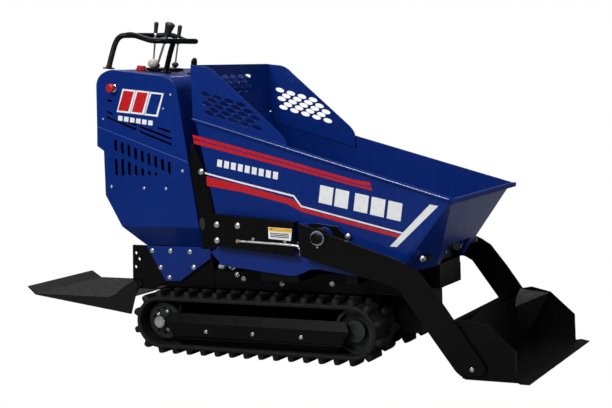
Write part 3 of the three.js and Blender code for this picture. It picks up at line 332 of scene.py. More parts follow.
def smooth_path(points, samples):
    """A Catmull-Rom curve through points, at even steps of its parameter."""
    p = np.asarray(points, float)
    p = np.vstack([2 * p[0] - p[1], p, 2 * p[-1] - p[-2]])
    t = np.linspace(0, len(points) - 1, samples)
    i = np.minimum(t.astype(int), len(points) - 2)
    s = (t - i)[:, None]
    return catmull_rom(p[i], p[i + 1], p[i + 2], p[i + 3], s)


def loop_path(points, samples):
    """A closed Catmull-Rom curve through points."""
    p = np.asarray(points, float)
    p = np.vstack([p[-1:], p, p[:2]])
    t = np.linspace(0, len(points), samples, endpoint=False)
    i = t.astype(int)
    return catmull_rom(p[i], p[i + 1], p[i + 2], p[i + 3], (t - i)[:, None])


def curved(start, control, end, steps=7):
    """Points of a parabola from start to end that heads for control, without its first point."""
    t = np.linspace(0, 1, steps)[1:, None]
    start, control, end = (np.array(p, float) for p in (start, control, end))
    return [tuple(p) for p in (1 - t) ** 2 * start + 2 * t * (1 - t) * control + t ** 2 * end]


def tube(path, radius, sides=16, closed=False):
    """A round section carried along a path without twist. radius may be one number or one per sample."""
    path = np.asarray(path, float)
    if closed:
        tangent = np.roll(path, -1, 0) - np.roll(path, 1, 0)
    else:
        tangent = np.gradient(path, axis=0)
    tangent /= np.linalg.norm(tangent, axis=1)[:, None]
    helper = np.array([0.0, 0.0, 1.0]) if abs(tangent[0, 2]) < 0.9 else np.array([1.0, 0.0, 0.0])
    normal = helper - tangent[0] * (helper @ tangent[0])
    normals = []
    for t in tangent:
        normal = normal - t * (normal @ t)
        normal /= np.linalg.norm(normal)
        normals.append(normal)
    normals = np.array(normals)
    side = np.cross(tangent, normals)
    angle = np.linspace(0, 2 * np.pi, sides, endpoint=False)
    reach = np.broadcast_to(np.asarray(radius, float), len(path))[:, None, None]
    ring = np.cos(angle)[None, :, None] * normals[:, None] + np.sin(angle)[None, :, None] * side[:, None]
    points = (path[:, None] + reach * ring).reshape(-1, 3)
    faces = [tuple(q) for q in weave(len(path), sides, close_rows=closed, close_columns=True)]
    if not closed:
        last = (len(path) - 1) * sides
        faces.append(tuple(range(sides - 1, -1, -1)))
        faces.append(tuple(range(last, last + sides)))
    return points, faces


def tilted(ring, x, z, tilt):
    """An outline turned by tilt about its own middle and set down at x, z."""
    c, s = math.cos(tilt), math.sin(tilt)
    return np.stack([x + ring[:, 0] * c - ring[:, 1] * s, z + ring[:, 0] * s + ring[:, 1] * c], 1)


def stadium(x, z, length, width, tilt, steps=6):
    """A slot's outline: two half circles width across, length over all, turned by tilt."""
    r = width / 2
    a = np.linspace(-np.pi / 2, np.pi / 2, steps)
    half = np.stack([np.cos(a) * r + (length / 2 - r), np.sin(a) * r], 1)
    return tilted(np.vstack([half, -half]), x, z, tilt)


def oval(x, z, width, height, tilt=0, steps=18):
    """An ellipse's outline, turned by tilt."""
    a = np.linspace(0, 2 * np.pi, steps, endpoint=False)
    return tilted(np.stack([np.cos(a) * width / 2, np.sin(a) * height / 2], 1), x, z, tilt)


# A sheet drawn flat stands up facing sideways (x, z) or facing along the machine (y, z).
UPRIGHT = Matrix(((1, 0, 0, 0), (0, 0, -1, 0), (0, 1, 0, 0), (0, 0, 0, 1)))
ACROSS = Matrix(((0, 0, 1, 0), (1, 0, 0, 0), (0, 1, 0, 0), (0, 0, 0, 1)))


def cut_sheet(name, outline, holes, middle, thick, material, body, replaces, turn=UPRIGHT):
    """A flat sheet in millimetres: an outline less its holes, given thickness and softly rounded edges.

    It stands upright with its middle plane at the distance middle from the machine's own middle or origin.
    """
    edge = 0.0008
    curve = bpy.data.curves.new(name, "CURVE")
    curve.dimensions = "2D"
    curve.fill_mode = "BOTH"
    curve.extrude = thick * MM / 2 - edge
    curve.bevel_depth = edge
    curve.bevel_resolution = 1
    curve.offset = -edge
    for ring in (outline, *holes):
        spline = curve.splines.new("POLY")
        spline.points.add(len(ring) - 1)
        flat = np.zeros((len(ring), 4))
        flat[:, :2] = np.asarray(ring) * MM
        flat[:, 3] = 1
        spline.points.foreach_set("co", flat.ravel())
        spline.use_cyclic_u = True
    maker = bpy.data.objects.new(name + "_maker", curve)
    bpy.context.collection.objects.link(maker)
    graph = bpy.context.evaluated_depsgraph_get()
    mesh = bpy.data.meshes.new_from_object(maker.evaluated_get(graph))
    bpy.data.objects.remove(maker)
    mesh.transform(turn)
    offset = (0, middle * MM, 0) if turn is UPRIGHT else (middle * MM, 0, 0)
    mesh.transform(Matrix.Translation(offset))
    mesh.name = name
    mesh.polygons.foreach_set("use_smooth", np.ones(len(mesh.polygons), bool))
    mesh.set_sharp_from_angle(angle=math.radians(50))
    obj = bpy.data.objects.new(name, mesh)
    bpy.context.collection.objects.link(obj)
    return finish_piece(obj, material, body, replaces)


def soften(node, width, angle=32, segments=2):
    """Welds a CAD node's loose triangles and rounds its edges."""
    obj = nodes[node]
    weld = obj.modifiers.new("weld", "WELD")
    weld.merge_threshold = 0.00002
    bevel = obj.modifiers.new("edge", "BEVEL")
    bevel.width = width
    bevel.segments = segments
    bevel.limit_method = "ANGLE"
    bevel.angle_limit = math.radians(angle)
    bevel.harden_normals = False
    return obj


# ------------------------------------------------ CAD nodes keep their shape and get a finish
slots = {part["node"]: part["material_slot"] for part in frame["record"]["subparts"]}
for node_name, node_object in nodes.items():
    node_object.data.materials.clear()
    node_object.data.materials.append(SLOT_FINISH[slots[node_name]])

SINGLE_EDGES = (
    ("hopper_tub", 0.0022), ("console_hood", 0.001), ("loader_arms", 0.0012), ("shovel", 0.001),
    ("platform", 0.0009), ("chassis_frame", 0.0012), ("console_base_pan", 0.0015),
)
PAIRED_EDGES = (("track_cover_", 0.0009), ("cylinder_guard_", 0.0012), ("loader_plate_", 0.001))
for node_name, width in SINGLE_EDGES:
    soften(node_name, width)
for word, _ in SIDES:
    for node_stem, width in PAIRED_EDGES:
        soften(node_stem + word, width)


# ------------------------------------------------ small shared shapes
def lowest(node):
    """Lowest height of a CAD node, in metres."""
    return min(v[2] for v in nodes[node].bound_box)


def bolts(name, spots, reach, side, size, shape=hex_bolt):
    """Zinc bolt heads on one side of the chassis: [x, z] spots and how far out they stand, in mm."""
    parts = [shape((x * MM, side * reach * MM, z * MM), (0, side, 0), size * MM) for x, z in spots]
    return mesh_piece(name, parts, ZINC, "chassis")


def film(name, rings, wall, side, material, body, lift=0.5):
    """Thin flat shapes on an upright wall whose distance out is wall(x), all in millimetres.

    Each outline is laid twice, lift outside the wall and a little inside it, and a strip joins the two.
    """
    sunk = 0.2
    parts = []
    for ring in rings:
        p = np.asarray(ring, float)
        x, z = p[:, 0], p[:, 1]
        area = np.sum(x * np.roll(z, -1) - np.roll(x, -1) * z)
        if (area > 0) != (side < 0):
            p = p[::-1]
        n = len(p)
        out = side * wall(p[:, 0])
        front = np.stack([p[:, 0], out + side * lift, p[:, 1]], 1)
        back = np.stack([p[:, 0], out - side * sunk, p[:, 1]], 1)
        faces = [tuple(range(n)), tuple(range(2 * n - 1, n - 1, -1))]
        faces += [((i + 1) % n, i, n + i, n + (i + 1) % n) for i in range(n)]
        parts.append((np.vstack([front, back]) * MM, faces))
    return mesh_piece(name, parts, material, body)


def flat(reach):
    """A wall that stands reach out all the way along."""
    return lambda x: np.full(np.shape(x), float(reach))


def slanted(x0, x1, low, high, slope, lean):
    """A block whose top and bottom rise by slope along x and whose ends lean forwards by lean."""
    rise = slope * (x1 - x0)
    return [(x0, low), (x1, low + rise), (x1 + lean, high + rise), (x0 + lean, high)]


# ------------------------------------------------ console panels, brackets and the bolts round them
SHEET = 3
PANEL_FACE = 300
PANEL_MIDDLE = PANEL_FACE - SHEET / 2
LOWER_OUTLINE = [(-640, 873), (-644, 797), (-614, 778), (-616, 608), (-547, 487), (-202, 487), (-236, 732)]
UPPER_OUTLINE = (
    [(-640, 874), (-634, 1030)] + curved((-634, 1030), (-628, 1076), (-566, 1086)) + [(-338, 1055)]
    + curved((-338, 1055), (-284, 1046), (-274, 1001)) + [(-236, 733)]
)
UPPER_SLITS = (
    ((-591, 906), (-462, 858)), ((-442, 868), (-307, 821)), ((-444, 849), (-308, 800)),
    ((-361, 862), (-312, 847)), ((-499, 888), (-461, 876)),
    ((-584, 970), (-568, 968)), ((-587, 927), (-569, 919)),
)
BRACKET_OUTLINE = [(-563, 404), (-400, 404), (-400, 268), (-470, 232), (-571, 232)]
BRACKET_HOLES = ((-550, 373), (-536, 349), (-554, 318))
APRON_SPOTS = ((-469, 385), (-386, 385), (-298, 384), (-434, 320), (-284, 325), (-395, 282))
# Each row: name, [x, z] spots, how far out the face stands, half the width over flats.
SIDE_BOLTS = (
    ("apron_bolts_", APRON_SPOTS, 218.7, 6),
    ("chassis_bolts_", ((-105, 300), (-78, 285), (85, 271), (291, 279)), 200, 6.5),
    ("post_bolts_", ((-185, 697),), 296, 7),
    ("cover_bolts_", ((-195, 94), (5, 96), (205, 95)), 291, 7.5),
    ("hinge_bolt_", ((-548, 247),), 213, 10),
    ("guard_bolts_", ((-91, 508), (-4, 505), (-93, 450)), 357, 7),
    ("arm_bracket_bolt_", ((417, 470),), 318, 7),
)


def lower_slots():
    """Upright slots: nine alike that step down forwards, and seven ever shorter ones on one level foot."""
    width = 12
    length, first_x, first_top, pitch, fall = 46, -558, 822, 29.7, 0.367
    slots = []
    for i in range(9):
        x = first_x + pitch * i
        top = first_top - fall * (x - first_x)
        slots.append(stadium(x, top - length / 2, length, width, math.pi / 2))
    foot, first_x, pitch = 682, -560, 29.8
    for i, top in enumerate((749, 747, 736, 722, 711, 701, 696)):
        slots.append(stadium(first_x + pitch * i, (top + foot) / 2, top - foot, width, math.pi / 2))
    return slots


def upper_slits():
    """Narrow round-ended slits, each between two points."""
    width = 8
    slits = []
    for (x0, z0), (x1, z1) in UPPER_SLITS:
        length = math.hypot(x1 - x0, z1 - z0) + width
        slits.append(stadium((x0 + x1) / 2, (z0 + z1) / 2, length, width, math.atan2(z1 - z0, x1 - x0)))
    return slits


def console_side(word, side):
    """The two side panels with their openings, and the domed screws that hold them."""
    panels = (("lower", LOWER_OUTLINE, lower_slots()), ("upper", UPPER_OUTLINE, upper_slits()))
    for height, outline, holes in panels:
        cut_sheet(
            f"{height}_panel_{word}", outline, holes, side * PANEL_MIDDLE, SHEET,
            BLUE, "chassis", (f"console_{height}_panel_{word}",),
        )
    wide = ((-437, 635), (-339, 633), (-586, 640), (-262, 700))
    small = ((-335, 934), (-610, 900), (-300, 985))
    bolts("panel_bolts_" + word, wide, PANEL_FACE, side, 6.5, cap_screw)
    bolts("panel_screws_" + word, small, PANEL_FACE, side, 4.2, cap_screw)


def rear_bracket(word, side):
    """The black plate that carries the platform, with three round holes."""
    holes = [oval(x, z, 13, 13, steps=16) for x, z in BRACKET_HOLES]
    cut_sheet(
        "bracket_" + word, BRACKET_OUTLINE, holes, side * 208.35, 8, BLACK, "chassis",
        ("rear_bracket_" + word,),
    )


for word, side in SIDES:
    console_side(word, side)
    rear_bracket(word, side)
    for bolt_stem, spots, reach, size in SIDE_BOLTS:
        bolts(bolt_stem + word, spots, reach, side, size)


# ------------------------------------------------ perforated hopper guards
RIM_FALL = 292 / 1008
HOLE_ROWS = ((0, 4), (0.5, 4), (0, 5), (0.5, 4), (0, 5))
REAR_ROWS = ((118, 5), (88.5, 4), (118, 5), (88.5, 4))


def rim_height(x):
    """Height of the tub's rim: a straight fall forwards."""
    return 896 - RIM_FALL * (x + 200)


GUARD_OUTLINE = (
    [(-182, 852), (-194, 900), (-211, 900), (-211, 1091), (-150, 1083)]
    + curved((-150, 1083), (-120, 1078), (-96, 1052)) + [(150, 836)]
    + curved((150, 836), (168, 820), (176, 800)) + [(176, rim_height(176) - 40)]
)
REAR_OUTLINE = [(-289, 894), (289, 894), (289, 1091), (-289, 1091)]


def guard_holes():
    """Ovals in rows that fall with the rim, each row starting a little ahead of the one above it."""
    pitch, row_drop, row_shift = 49.5, 16.7, 3.25
    holes = []
    for row, (shift, count) in enumerate(HOLE_ROWS):
        for column in range(count):
            x = -153 + (column + shift) * pitch + row * row_shift
            z = rim_height(x) + 100.5 - row * row_drop
            holes.append(oval(x, z, 40, 17, -math.atan(RIM_FALL), 22))
    return holes


def rear_holes():
    """Wide ovals in level rows, with every second row moved half a pitch."""
    pitch, row_drop = 59, 18.3
    holes = []
    for row, (start, count) in enumerate(REAR_ROWS):
        for column in range(count):
            holes.append(oval(start - pitch * column, 1044 - row_drop * row, 50, 15, steps=22))
    return holes


for word, side in SIDES:
    cut_sheet(
        "guard_" + word, GUARD_OUTLINE, guard_holes(), side * 293.15, SHEET, BLUE, "hopper",
        ("hopper_guard_" + word,),
    )
cut_sheet(
    "guard_rear", REAR_OUTLINE, rear_holes(), -202.5, SHEET, BLUE, "hopper",
    ("hopper_guard_rear",), turn=ACROSS,
)

# ------------------------------------------------ stickers: plain bars only
MARK_SLOPE = -0.12
MARK = [slanted(-538, -492, 932, 1006, MARK_SLOPE, 30), slanted(-476, -430, 925, 999, MARK_SLOPE, 30)]
MARK_EDGE = [slanted(-545, -485, 926, 1013, MARK_SLOPE, 32), slanted(-483, -423, 919, 1006, MARK_SLOPE, 32)]
FRAME_OUT = [slanted(-421, -361, 911, 998, MARK_SLOPE, 32)]
FRAME_IN = [slanted(-414, -368, 917, 991, MARK_SLOPE, 30)]
MARK_ROW = [slanted(-541 + 27 * i, -521 + 27 * i, 894 - 4 * i, 912 - 4 * i, -0.14, 3) for i in range(6)]
RED_BANDS = [
    [(-214, 835), (151, 745), (445, 668), (503, 661), (508, 646), (449, 655), (151, 734), (-211, 821)],
    [(-211, 817), (151, 730), (451, 651), (509, 642), (512, 631), (459, 643), (150, 718), (-208, 801)],
    [(-161, 680), (-14, 649), (197, 598), (241, 566), (616, 479),
     (600, 469), (232, 554), (176, 581), (-15, 623), (-160, 645)],
]
WHITE_BANDS = [
    [(-167, 695), (-14, 660), (204, 613), (233, 576), (623, 487),
     (620, 482), (230, 571), (200, 607), (-16, 654), (-166, 689)],
    [(725, 585), (756, 580), (598, 436), (572, 438)],
]
BAND_FALL = 0.2
BLOCKS = [
    slanted(x, x + 52, 588 - BAND_FALL * (x - 301), 650 - BAND_FALL * (x - 301), -BAND_FALL, 10)
    for x in (301, 362, 437, 500, 563)
]
BLOCKS += [
    slanted(-113 + 29 * i, -93 + 29 * i, 717 - 5.6 * i, 743 - 5.6 * i, -BAND_FALL, 4)
    for i in range(9)
]
LIFT_GUARD_FACE = 357


def tub_wall(x):
    """Distance out of the hopper's side wall: it spreads by 14 over the wall's length of 1008."""
    return 298 + 14 * (x + 200) / 1008


def console_stickers(word, side):
    """Two red blocks and an open one with white edges, over a row of small white blocks."""
    face = flat(PANEL_FACE)
    film("console_mark_edge_" + word, MARK_EDGE + FRAME_OUT, face, side, WHITE_FILM, "chassis", 0.35)
    film("console_mark_" + word, MARK, face, side, RED_FILM, "chassis", 0.7)
    film("console_mark_field_" + word, FRAME_IN, face, side, BLUE, "chassis", 0.7)
    film("console_mark_row_" + word, MARK_ROW, face, side, WHITE_FILM, "chassis", 1.0)


def hopper_stickers(word, side):
    """The double red stripe, the red and white swage band, the slanting bar and the white blocks."""
    film("hopper_red_" + word, RED_BANDS, tub_wall, side, RED_FILM, "hopper")
    film("hopper_white_" + word, WHITE_BANDS, tub_wall, side, WHITE_FILM, "hopper", 0.7)
    film("hopper_blocks_" + word, BLOCKS, tub_wall, side, WHITE_FILM, "hopper")


def guard_label(word, side):
    """A white patch with a yellow head, three dark bars and a dark triangle."""
    face = flat(LIFT_GUARD_FACE)
    patch = [(122, 503), (218, 498), (212, 455), (122, 461)]
    patch_head = [(123, 502), (217, 497), (215, 484), (123, 489)]
    bars = [
        [(130, 483 - 6 * i), (205, 479 - 6 * i), (205, 476 - 6 * i), (130, 480 - 6 * i)]
        for i in range(3)
    ]
    triangle = [(131, 498), (141, 498), (136, 492)]
    film("guard_label_" + word, [patch], face, side, WHITE_FILM, "chassis", 0.35)
    film("guard_label_top_" + word, [patch_head], face, side, YELLOW_FILM, "chassis", 0.6)
    film("guard_label_marks_" + word, bars + [triangle], face, side, INK, "chassis", 0.9)


for word, side in SIDES:
    console_stickers(word, side)
    hopper_stickers(word, side)
    guard_label(word, side)


# ------------------------------------------------ tubular handle guard
TOP_FALL = 31 / 228
HANDLE_R = 0.0105


def above_top(x, y, height):
    """A point at a height square to the console's sloping top, in metres."""
    size = math.hypot(TOP_FALL, 1)
    z = 1086 - TOP_FALL * (x + 566)
    return np.array([x + TOP_FALL / size * height, y, z + height / size]) * MM


def handle_parts():
    """One closed loop, a stem that rises into its rear corner and a slanting front post."""
    near, far = -198, 58
    ring = np.array([
        (-518, near, 1216), (-444, near, 1193), (-404, near + 4, 1189.5), (-387, near + 22, 1188),
        (-384, near + 60, 1188), (-384, far - 60, 1188), (-387, far - 22, 1188), (-404, far - 4, 1189.5),
        (-444, far, 1193), (-508, far, 1218), (-556, far - 8, 1220), (-576, far - 34, 1220),
        (-580, near + 60, 1219), (-572, near + 22, 1217.5), (-545, near, 1218.5),
    ]) * MM
    rise = np.array([
        (-594, -250, 1130), (-586, -225, 1190), (-572, -208, 1214), (-540, near, 1217), (-512, near, 1214),
    ]) * MM
    stem = np.vstack([above_top(-598, -262, 4), rise])
    slant = np.array([(-406, -126, 1136), (-387, -126, 1184)]) * MM
    post = np.vstack([above_top(-428, -126, 4), slant])
    normal = above_top(0, 0, 1) - above_top(0, 0, 0)
    foot = [
        (0.0225, 0.0), (0.0225, 0.004), (0.0205, 0.005),
        (0.0135, 0.0055), (0.0115, 0.009), (0.0105, 0.013),
    ]
    return [
        tube(loop_path(ring, 150), HANDLE_R, 18, closed=True),
        tube(smooth_path(stem, 44), HANDLE_R, 18),
        tube(smooth_path(post, 14), HANDLE_R, 18),
        turned(foot, above_top(-598, -262, 0.6), normal, 26),
        turned(foot, above_top(-428, -126, 0.6), normal, 26),
    ]


mesh_piece("handle_tube", handle_parts(), BLACK, "chassis", ("handle_guard",))


# ------------------------------------------------ levers and knobs
def lever_pieces(node, at, boot_r, rod_r, lean, low, high, grip_low, grip_high, boot_finish):
    """Domed foot, thin rod with a ferrule and locknut, and a grip turned about the leaning rod.

    The grip's radius grows from grip_low to grip_high as the power 1.5 of the way up, and a quarter ellipse
    closes its top.
    """
    foot = lowest(node) / MM + boot_r * 0.8
    start = np.array([at[0], at[1], foot])
    end = np.array([at[0] + lean, at[1], high])
    axis = (end - start) / np.linalg.norm(end - start)

    def along(z):
        """The point of the rod's middle line at a height in millimetres."""
        return (start + axis * (z - foot) / axis[2]) * MM

    base = start * MM
    length = np.linalg.norm(along(high) - along(low))
    angles = np.linspace(-1.45, 1.4, 14)
    dome = [(boot_r * MM * math.cos(a), boot_r * MM * 0.8 * math.sin(a)) for a in angles]
    turned_piece(node + "_boot", dome, base, (0, 0, 1), 28, boot_finish, node, (node,))

    r = rod_r * MM
    bar = [(r, 0), (r, np.linalg.norm(along(low + 4) - base))]
    locknut = [(r * 1.3, 0), (r * 1.9, 0.001), (r * 1.9, 0.007), (r * 1.3, 0.008)]
    ferrule = [(r * 1.1, 0), (r * 1.75, 0.0012), (r * 1.75, 0.011), (r * 1.4, 0.013)]
    rod = [
        turned(bar, base, axis, 16),
        turned(locknut, along(low - 26), axis, 18),
        turned(ferrule, along(low - 11), axis, 20),
    ]
    mesh_piece(node + "_rod", rod, ZINC, node, (node,))

    g0, g1 = grip_low * MM, grip_high * MM
    swell = [(g0 + (g1 - g0) * s ** 1.5, length * (0.05 + 0.78 * s)) for s in np.linspace(0, 1, 14)]
    crown = [(g1 * math.cos(a), length * (0.83 + 0.17 * math.sin(a))) for a in np.linspace(0.15, 1.5, 8)]
    grip = [(g0 * 0.7, 0.0), (g0 * 0.96, length * 0.015)] + swell + crown
    turned_piece(node + "_grip", grip, along(low), axis, 26, GRIP, node, (node,))


lever_pieces("drive_lever_right", (-482, -128), 22, 3.6, 24, 1222, 1266, 7.5, 9, BALL)
lever_pieces("drive_lever_left", (-482, 30), 14, 3.6, 32, 1205, 1256, 7.5, 9, GRIP)
lever_pieces("main_lever", (-490, -88), 11, 4.6, 72, 1208, 1262, 12, 20, GRIP)


def stop_button():
    """A red mushroom head that pulls out, and the chrome collar it sits in."""
    head = [
        (0.007, 0), (0.007, 0.011), (0.0145, 0.012), (0.0165, 0.0145),
        (0.0165, 0.023), (0.015, 0.0265), (0.009, 0.0285), (0.003, 0.029),
    ]
    collar = [
        (0.016, -0.0005), (0.016, 0.002), (0.0145, 0.003),
        (0.0125, 0.0032), (0.0125, 0.0055), (0.0105, 0.0062),
    ]
    outward = (0, -1, 0)
    head_at, collar_at = (-0.556, -0.301, 1.017), (-0.556, -0.3, 1.017)
    turned_piece(
        "stop_knob_head", head, head_at, outward, 36, RED, "stop_knob", ("stop_knob",),
    )
    turned_piece("stop_knob_collar", collar, collar_at, outward, 30, CHROME, "chassis")


stop_button()


# ------------------------------------------------ rubber tracks
AXLE_X, AXLE_Z, BELT_R = 0.403, 0.1205, 0.099
STRAIGHT = 2 * AXLE_X
TURN = math.pi * BELT_R
LOOP = 2 * (STRAIGHT + TURN)
LUGS = 36


def belt_place(s):
    """Point on the belt's outer face a distance s round the loop, and the outward direction there.

    The loop runs forwards under the wheels, up round the idler, back over the top and down the drive end.
    """
    s = np.asarray(s, float) % LOOP
    x = np.empty_like(s)
    angle = np.empty_like(s)
    under = s < STRAIGHT
    front = (s >= STRAIGHT) & (s < STRAIGHT + TURN)
    over = (s >= STRAIGHT + TURN) & (s < 2 * STRAIGHT + TURN)
    rear = s >= 2 * STRAIGHT + TURN
    x[under], angle[under] = -AXLE_X + s[under], -math.pi / 2
    x[front], angle[front] = AXLE_X, -math.pi / 2 + (s[front] - STRAIGHT) / BELT_R
    x[over], angle[over] = AXLE_X - (s[over] - STRAIGHT - TURN), math.pi / 2
    x[rear], angle[rear] = -AXLE_X, math.pi / 2 + (s[rear] - 2 * STRAIGHT - TURN) / BELT_R
    out = np.stack([np.cos(angle), np.sin(angle)], -1)
    return np.stack([x, np.full_like(s, AXLE_Z)], -1) + BELT_R * out, out


def belt_band(side, samples=220):
    """The band: a round-cornered strip with a shallow groove near each edge, carried round the loop."""
    w0, w1, t = 0.117, 0.297, 0.015
    section = np.array([
        (w0 + 0.004, 0), (w0 + 0.012, 0), (w0 + 0.014, -0.0015), (w0 + 0.02, -0.0015), (w0 + 0.022, 0),
        (w1 - 0.022, 0), (w1 - 0.02, -0.0015), (w1 - 0.014, -0.0015), (w1 - 0.012, 0), (w1 - 0.004, 0),
        (w1 - 0.001, -0.001), (w1, -0.004), (w1, -t + 0.004), (w1 - 0.001, -t + 0.001), (w1 - 0.004, -t),
        (w0 + 0.004, -t), (w0 + 0.001, -t + 0.001), (w0, -t + 0.004), (w0, -0.004), (w0 + 0.001, -0.001),
    ])
    at, out = belt_place(np.linspace(0, LOOP, samples, endpoint=False))
    y = np.broadcast_to(side * section[:, 0], (samples, len(section)))
    xz = at[:, None] + section[None, :, 1, None] * out[:, None]
    points = np.stack([xz[..., 0], y, xz[..., 1]], -1).reshape(-1, 3)
    faces = weave(samples, len(section), True, True)
    return points, [tuple(q) for q in (faces if side > 0 else faces[:, ::-1])]


def lug(side, s, y0, y1):
    """One tread lug: rounded bars stacked up from the band, wide at the foot and narrow at the crown.

    Each level is a superellipse: cosine and sine, raised to powers under one, times the half sizes.
    """
    corners, half_length = 20, 0.0175
    at, out = (v[0] for v in belt_place(np.array([s])))
    along = np.array([-out[1], out[0]])
    levels = (
        (-0.003, 1.0, 1.0), (0.004, 0.93, 0.985), (0.016, 0.78, 0.965),
        (0.0197, 0.7, 0.95), (0.0212, 0.5, 0.9),
    )
    angle = np.linspace(0, 2 * np.pi, corners, endpoint=False)
    c, q = np.cos(angle), np.sin(angle)
    u = np.sign(c) * np.abs(c) ** 0.55
    v = np.sign(q) * np.abs(q) ** 0.4
    middle, half = side * (y0 + y1) / 2, (y1 - y0) / 2
    rings = []
    for height, long, wide in levels:
        xz = at + out * height + (u * half_length * long)[:, None] * along
        rings.append(np.stack([xz[:, 0], middle + v * half * wide, xz[:, 1]], 1))
    faces = [tuple(f) for f in weave(len(levels), corners, close_columns=True)]
    last = (len(levels) - 1) * corners
    faces += [tuple(range(corners - 1, -1, -1)), tuple(range(last, last + corners))]
    points = np.concatenate(rings)
    normal = np.cross(rings[0][5] - rings[0][0], rings[0][10] - rings[0][0])
    if normal @ np.array([out[0], 0, out[1]]) < 0:
        faces = [f[::-1] for f in faces]
    return points, faces


def tread_belt(word, side):
    """The band with an outer and an inner row of lugs, half a pitch apart."""
    pitch = LOOP / LUGS
    tread = [belt_band(side)]
    for i in range(LUGS):
        tread.append(lug(side, i * pitch, 0.203, 0.294))
        tread.append(lug(side, (i + 0.5) * pitch, 0.12, 0.211))
    mesh_piece("tread_belt_" + word, tread, RUBBER, "chassis", ("track_belt_" + word,), 45)


def sprocket_hub(word, side):
    """The domed hub cap and the ring of five bolts behind it."""
    cap = [
        (0.0235, -0.004), (0.0235, 0.001), (0.0215, 0.004),
        (0.0195, 0.0045), (0.0185, 0.0075), (0.006, 0.009),
    ]
    wheel, outward = "sprocket_" + word, (0, side, 0)
    cap_at = (-AXLE_X, side * 0.288, AXLE_Z)
    turned_piece("sprocket_cap_" + word, cap, cap_at, outward, 32, ZINC, wheel)
    circle, face = 0.036, side * 0.252
    ring = []
    for a in np.linspace(0, 2 * np.pi, 5, endpoint=False):
        at = (-AXLE_X + circle * math.cos(a), face, AXLE_Z + circle * math.sin(a))
        ring.append(hex_bolt(at, outward, 0.0045))
    mesh_piece("sprocket_bolts_" + word, ring, ZINC, wheel)


for word, side in SIDES:
    tread_belt(word, side)
    sprocket_hub(word, side)


# ------------------------------------------------ tread plate on the platform
def tear(x, y, angle, z, length=0.021, width=0.0066, height=0.0014):
    """A raised tear: rings of a pointed oval, smaller as they rise.

    The oval is an ellipse whose half width shrinks towards the ends with the sine of the angle.
    """
    corners = 12
    levels = ((1, -0.0004), (0.9, height * 0.6), (0.62, height), (0.2, height * 1.05))
    a = np.linspace(0, 2 * np.pi, corners, endpoint=False)
    half_width = width / 2 * (0.45 + 0.55 * np.abs(np.sin(a)))
    reach = tilted(np.stack([np.cos(a) * length / 2, np.sin(a) * half_width], 1), 0, 0, angle)
    rings = [
        np.column_stack([x + reach[:, 0] * k, y + reach[:, 1] * k, np.full(corners, z + h)])
        for k, h in levels
    ]
    faces = [tuple(q) for q in weave(len(levels), corners, close_columns=True)]
    last = (len(levels) - 1) * corners
    faces += [tuple(range(corners - 1, -1, -1)), tuple(range(last, last + corners))]
    return np.concatenate(rings), faces


PLATE_TOP = 0.195
tears = [
    tear(-1.02 + 0.0278 * i, -0.196 + 0.028 * j, math.pi / 4 * (1 if (i + j) % 2 else -1), PLATE_TOP)
    for i in range(15) for j in range(15)
]
mesh_piece("platform_tears", tears, TREAD, "platform")
nodes["platform"].data.materials[0] = TREAD

# ------------------------------------------------ loader, lift pipe and frame fittings
PIPE_OUT = 0.3635
ARM_PIN = (0.326, 0.469)
HINGE = (0.674, 0.392)


def arm_pin(word, side):
    """The arm pivot's end: a grooved zinc ring, the black pin end in it and a grease nipple below."""
    ring = [
        (0.0275, 0.0), (0.0275, 0.003), (0.026, 0.0042),
        (0.0215, 0.0042), (0.0205, 0.002), (0.0205, 0.0005),
    ]
    nipple = [(0.004, 0), (0.004, 0.005), (0.0025, 0.006), (0.0034, 0.009), (0.002, 0.0115)]
    pin_end = [(0.0203, -0.002), (0.0203, 0.0008), (0.019, 0.0016), (0.004, 0.0018)]
    x, z = ARM_PIN
    face, outward = side * 0.374, (0, side, 0)
    end_at, nipple_at = (x, side * 0.388, z), (0.327, face, 0.437)
    turned_piece("arm_pin_ring_" + word, ring, (x, face, z), outward, 40, ZINC, "chassis")
    turned_piece("arm_nipple_" + word, nipple, nipple_at, outward, 16, BRASS, "arms")
    turned_piece("arm_pin_end_" + word, pin_end, end_at, outward, 32, BLACK, "chassis")


def lift_pipe(word, side):
    """The rigid oil pipe along the lift guard, its two brass fittings and two clips."""
    samples = 34
    y = side * PIPE_OUT
    run = smooth_path(np.array([(7, 450), (60, 448), (224, 440), (246, 432), (256, 418)]) * MM, samples)
    run = np.column_stack([run[:, 0], np.full(samples, y), run[:, 1]])
    mesh_piece("guard_pipe_" + word, [tube(run, 0.0045, 14)], ZINC, "chassis")
    elbow = [(0.0075, 0), (0.0085, 0.001), (0.0085, 0.014), (0.0075, 0.015)]
    tail = [(0.007, 0), (0.008, 0.001), (0.008, 0.011), (0.007, 0.012)]
    fittings = [
        turned(elbow, (0.256, y, 0.404), (0, 0, 1), 18),
        turned(tail, (0.006, y, 0.4501), (-1, 0, 0), 18),
    ]
    mesh_piece("guard_fittings_" + word, fittings, BRASS, "chassis")
    clip = [(0.006, 0), (0.006, 0.004), (0.005, 0.005)]
    clips = [
        turned(clip, (x, side * LIFT_GUARD_FACE * MM, z), (0, side, 0), 16)
        for x, z in ((0.06, 0.458), (0.19, 0.452))
    ]
    mesh_piece("pipe_clips_" + word, clips, ZINC, "chassis")


def shovel_bolts(word, side):
    """The one big bolt low on the shovel's side plate, which moves with the shovel."""
    bolt = hex_bolt((885 * MM, side * 371.5 * MM, 39 * MM), (0, side, 0), 8 * MM)
    mesh_piece("shovel_bolts_" + word, [bolt], ZINC, "shovel")


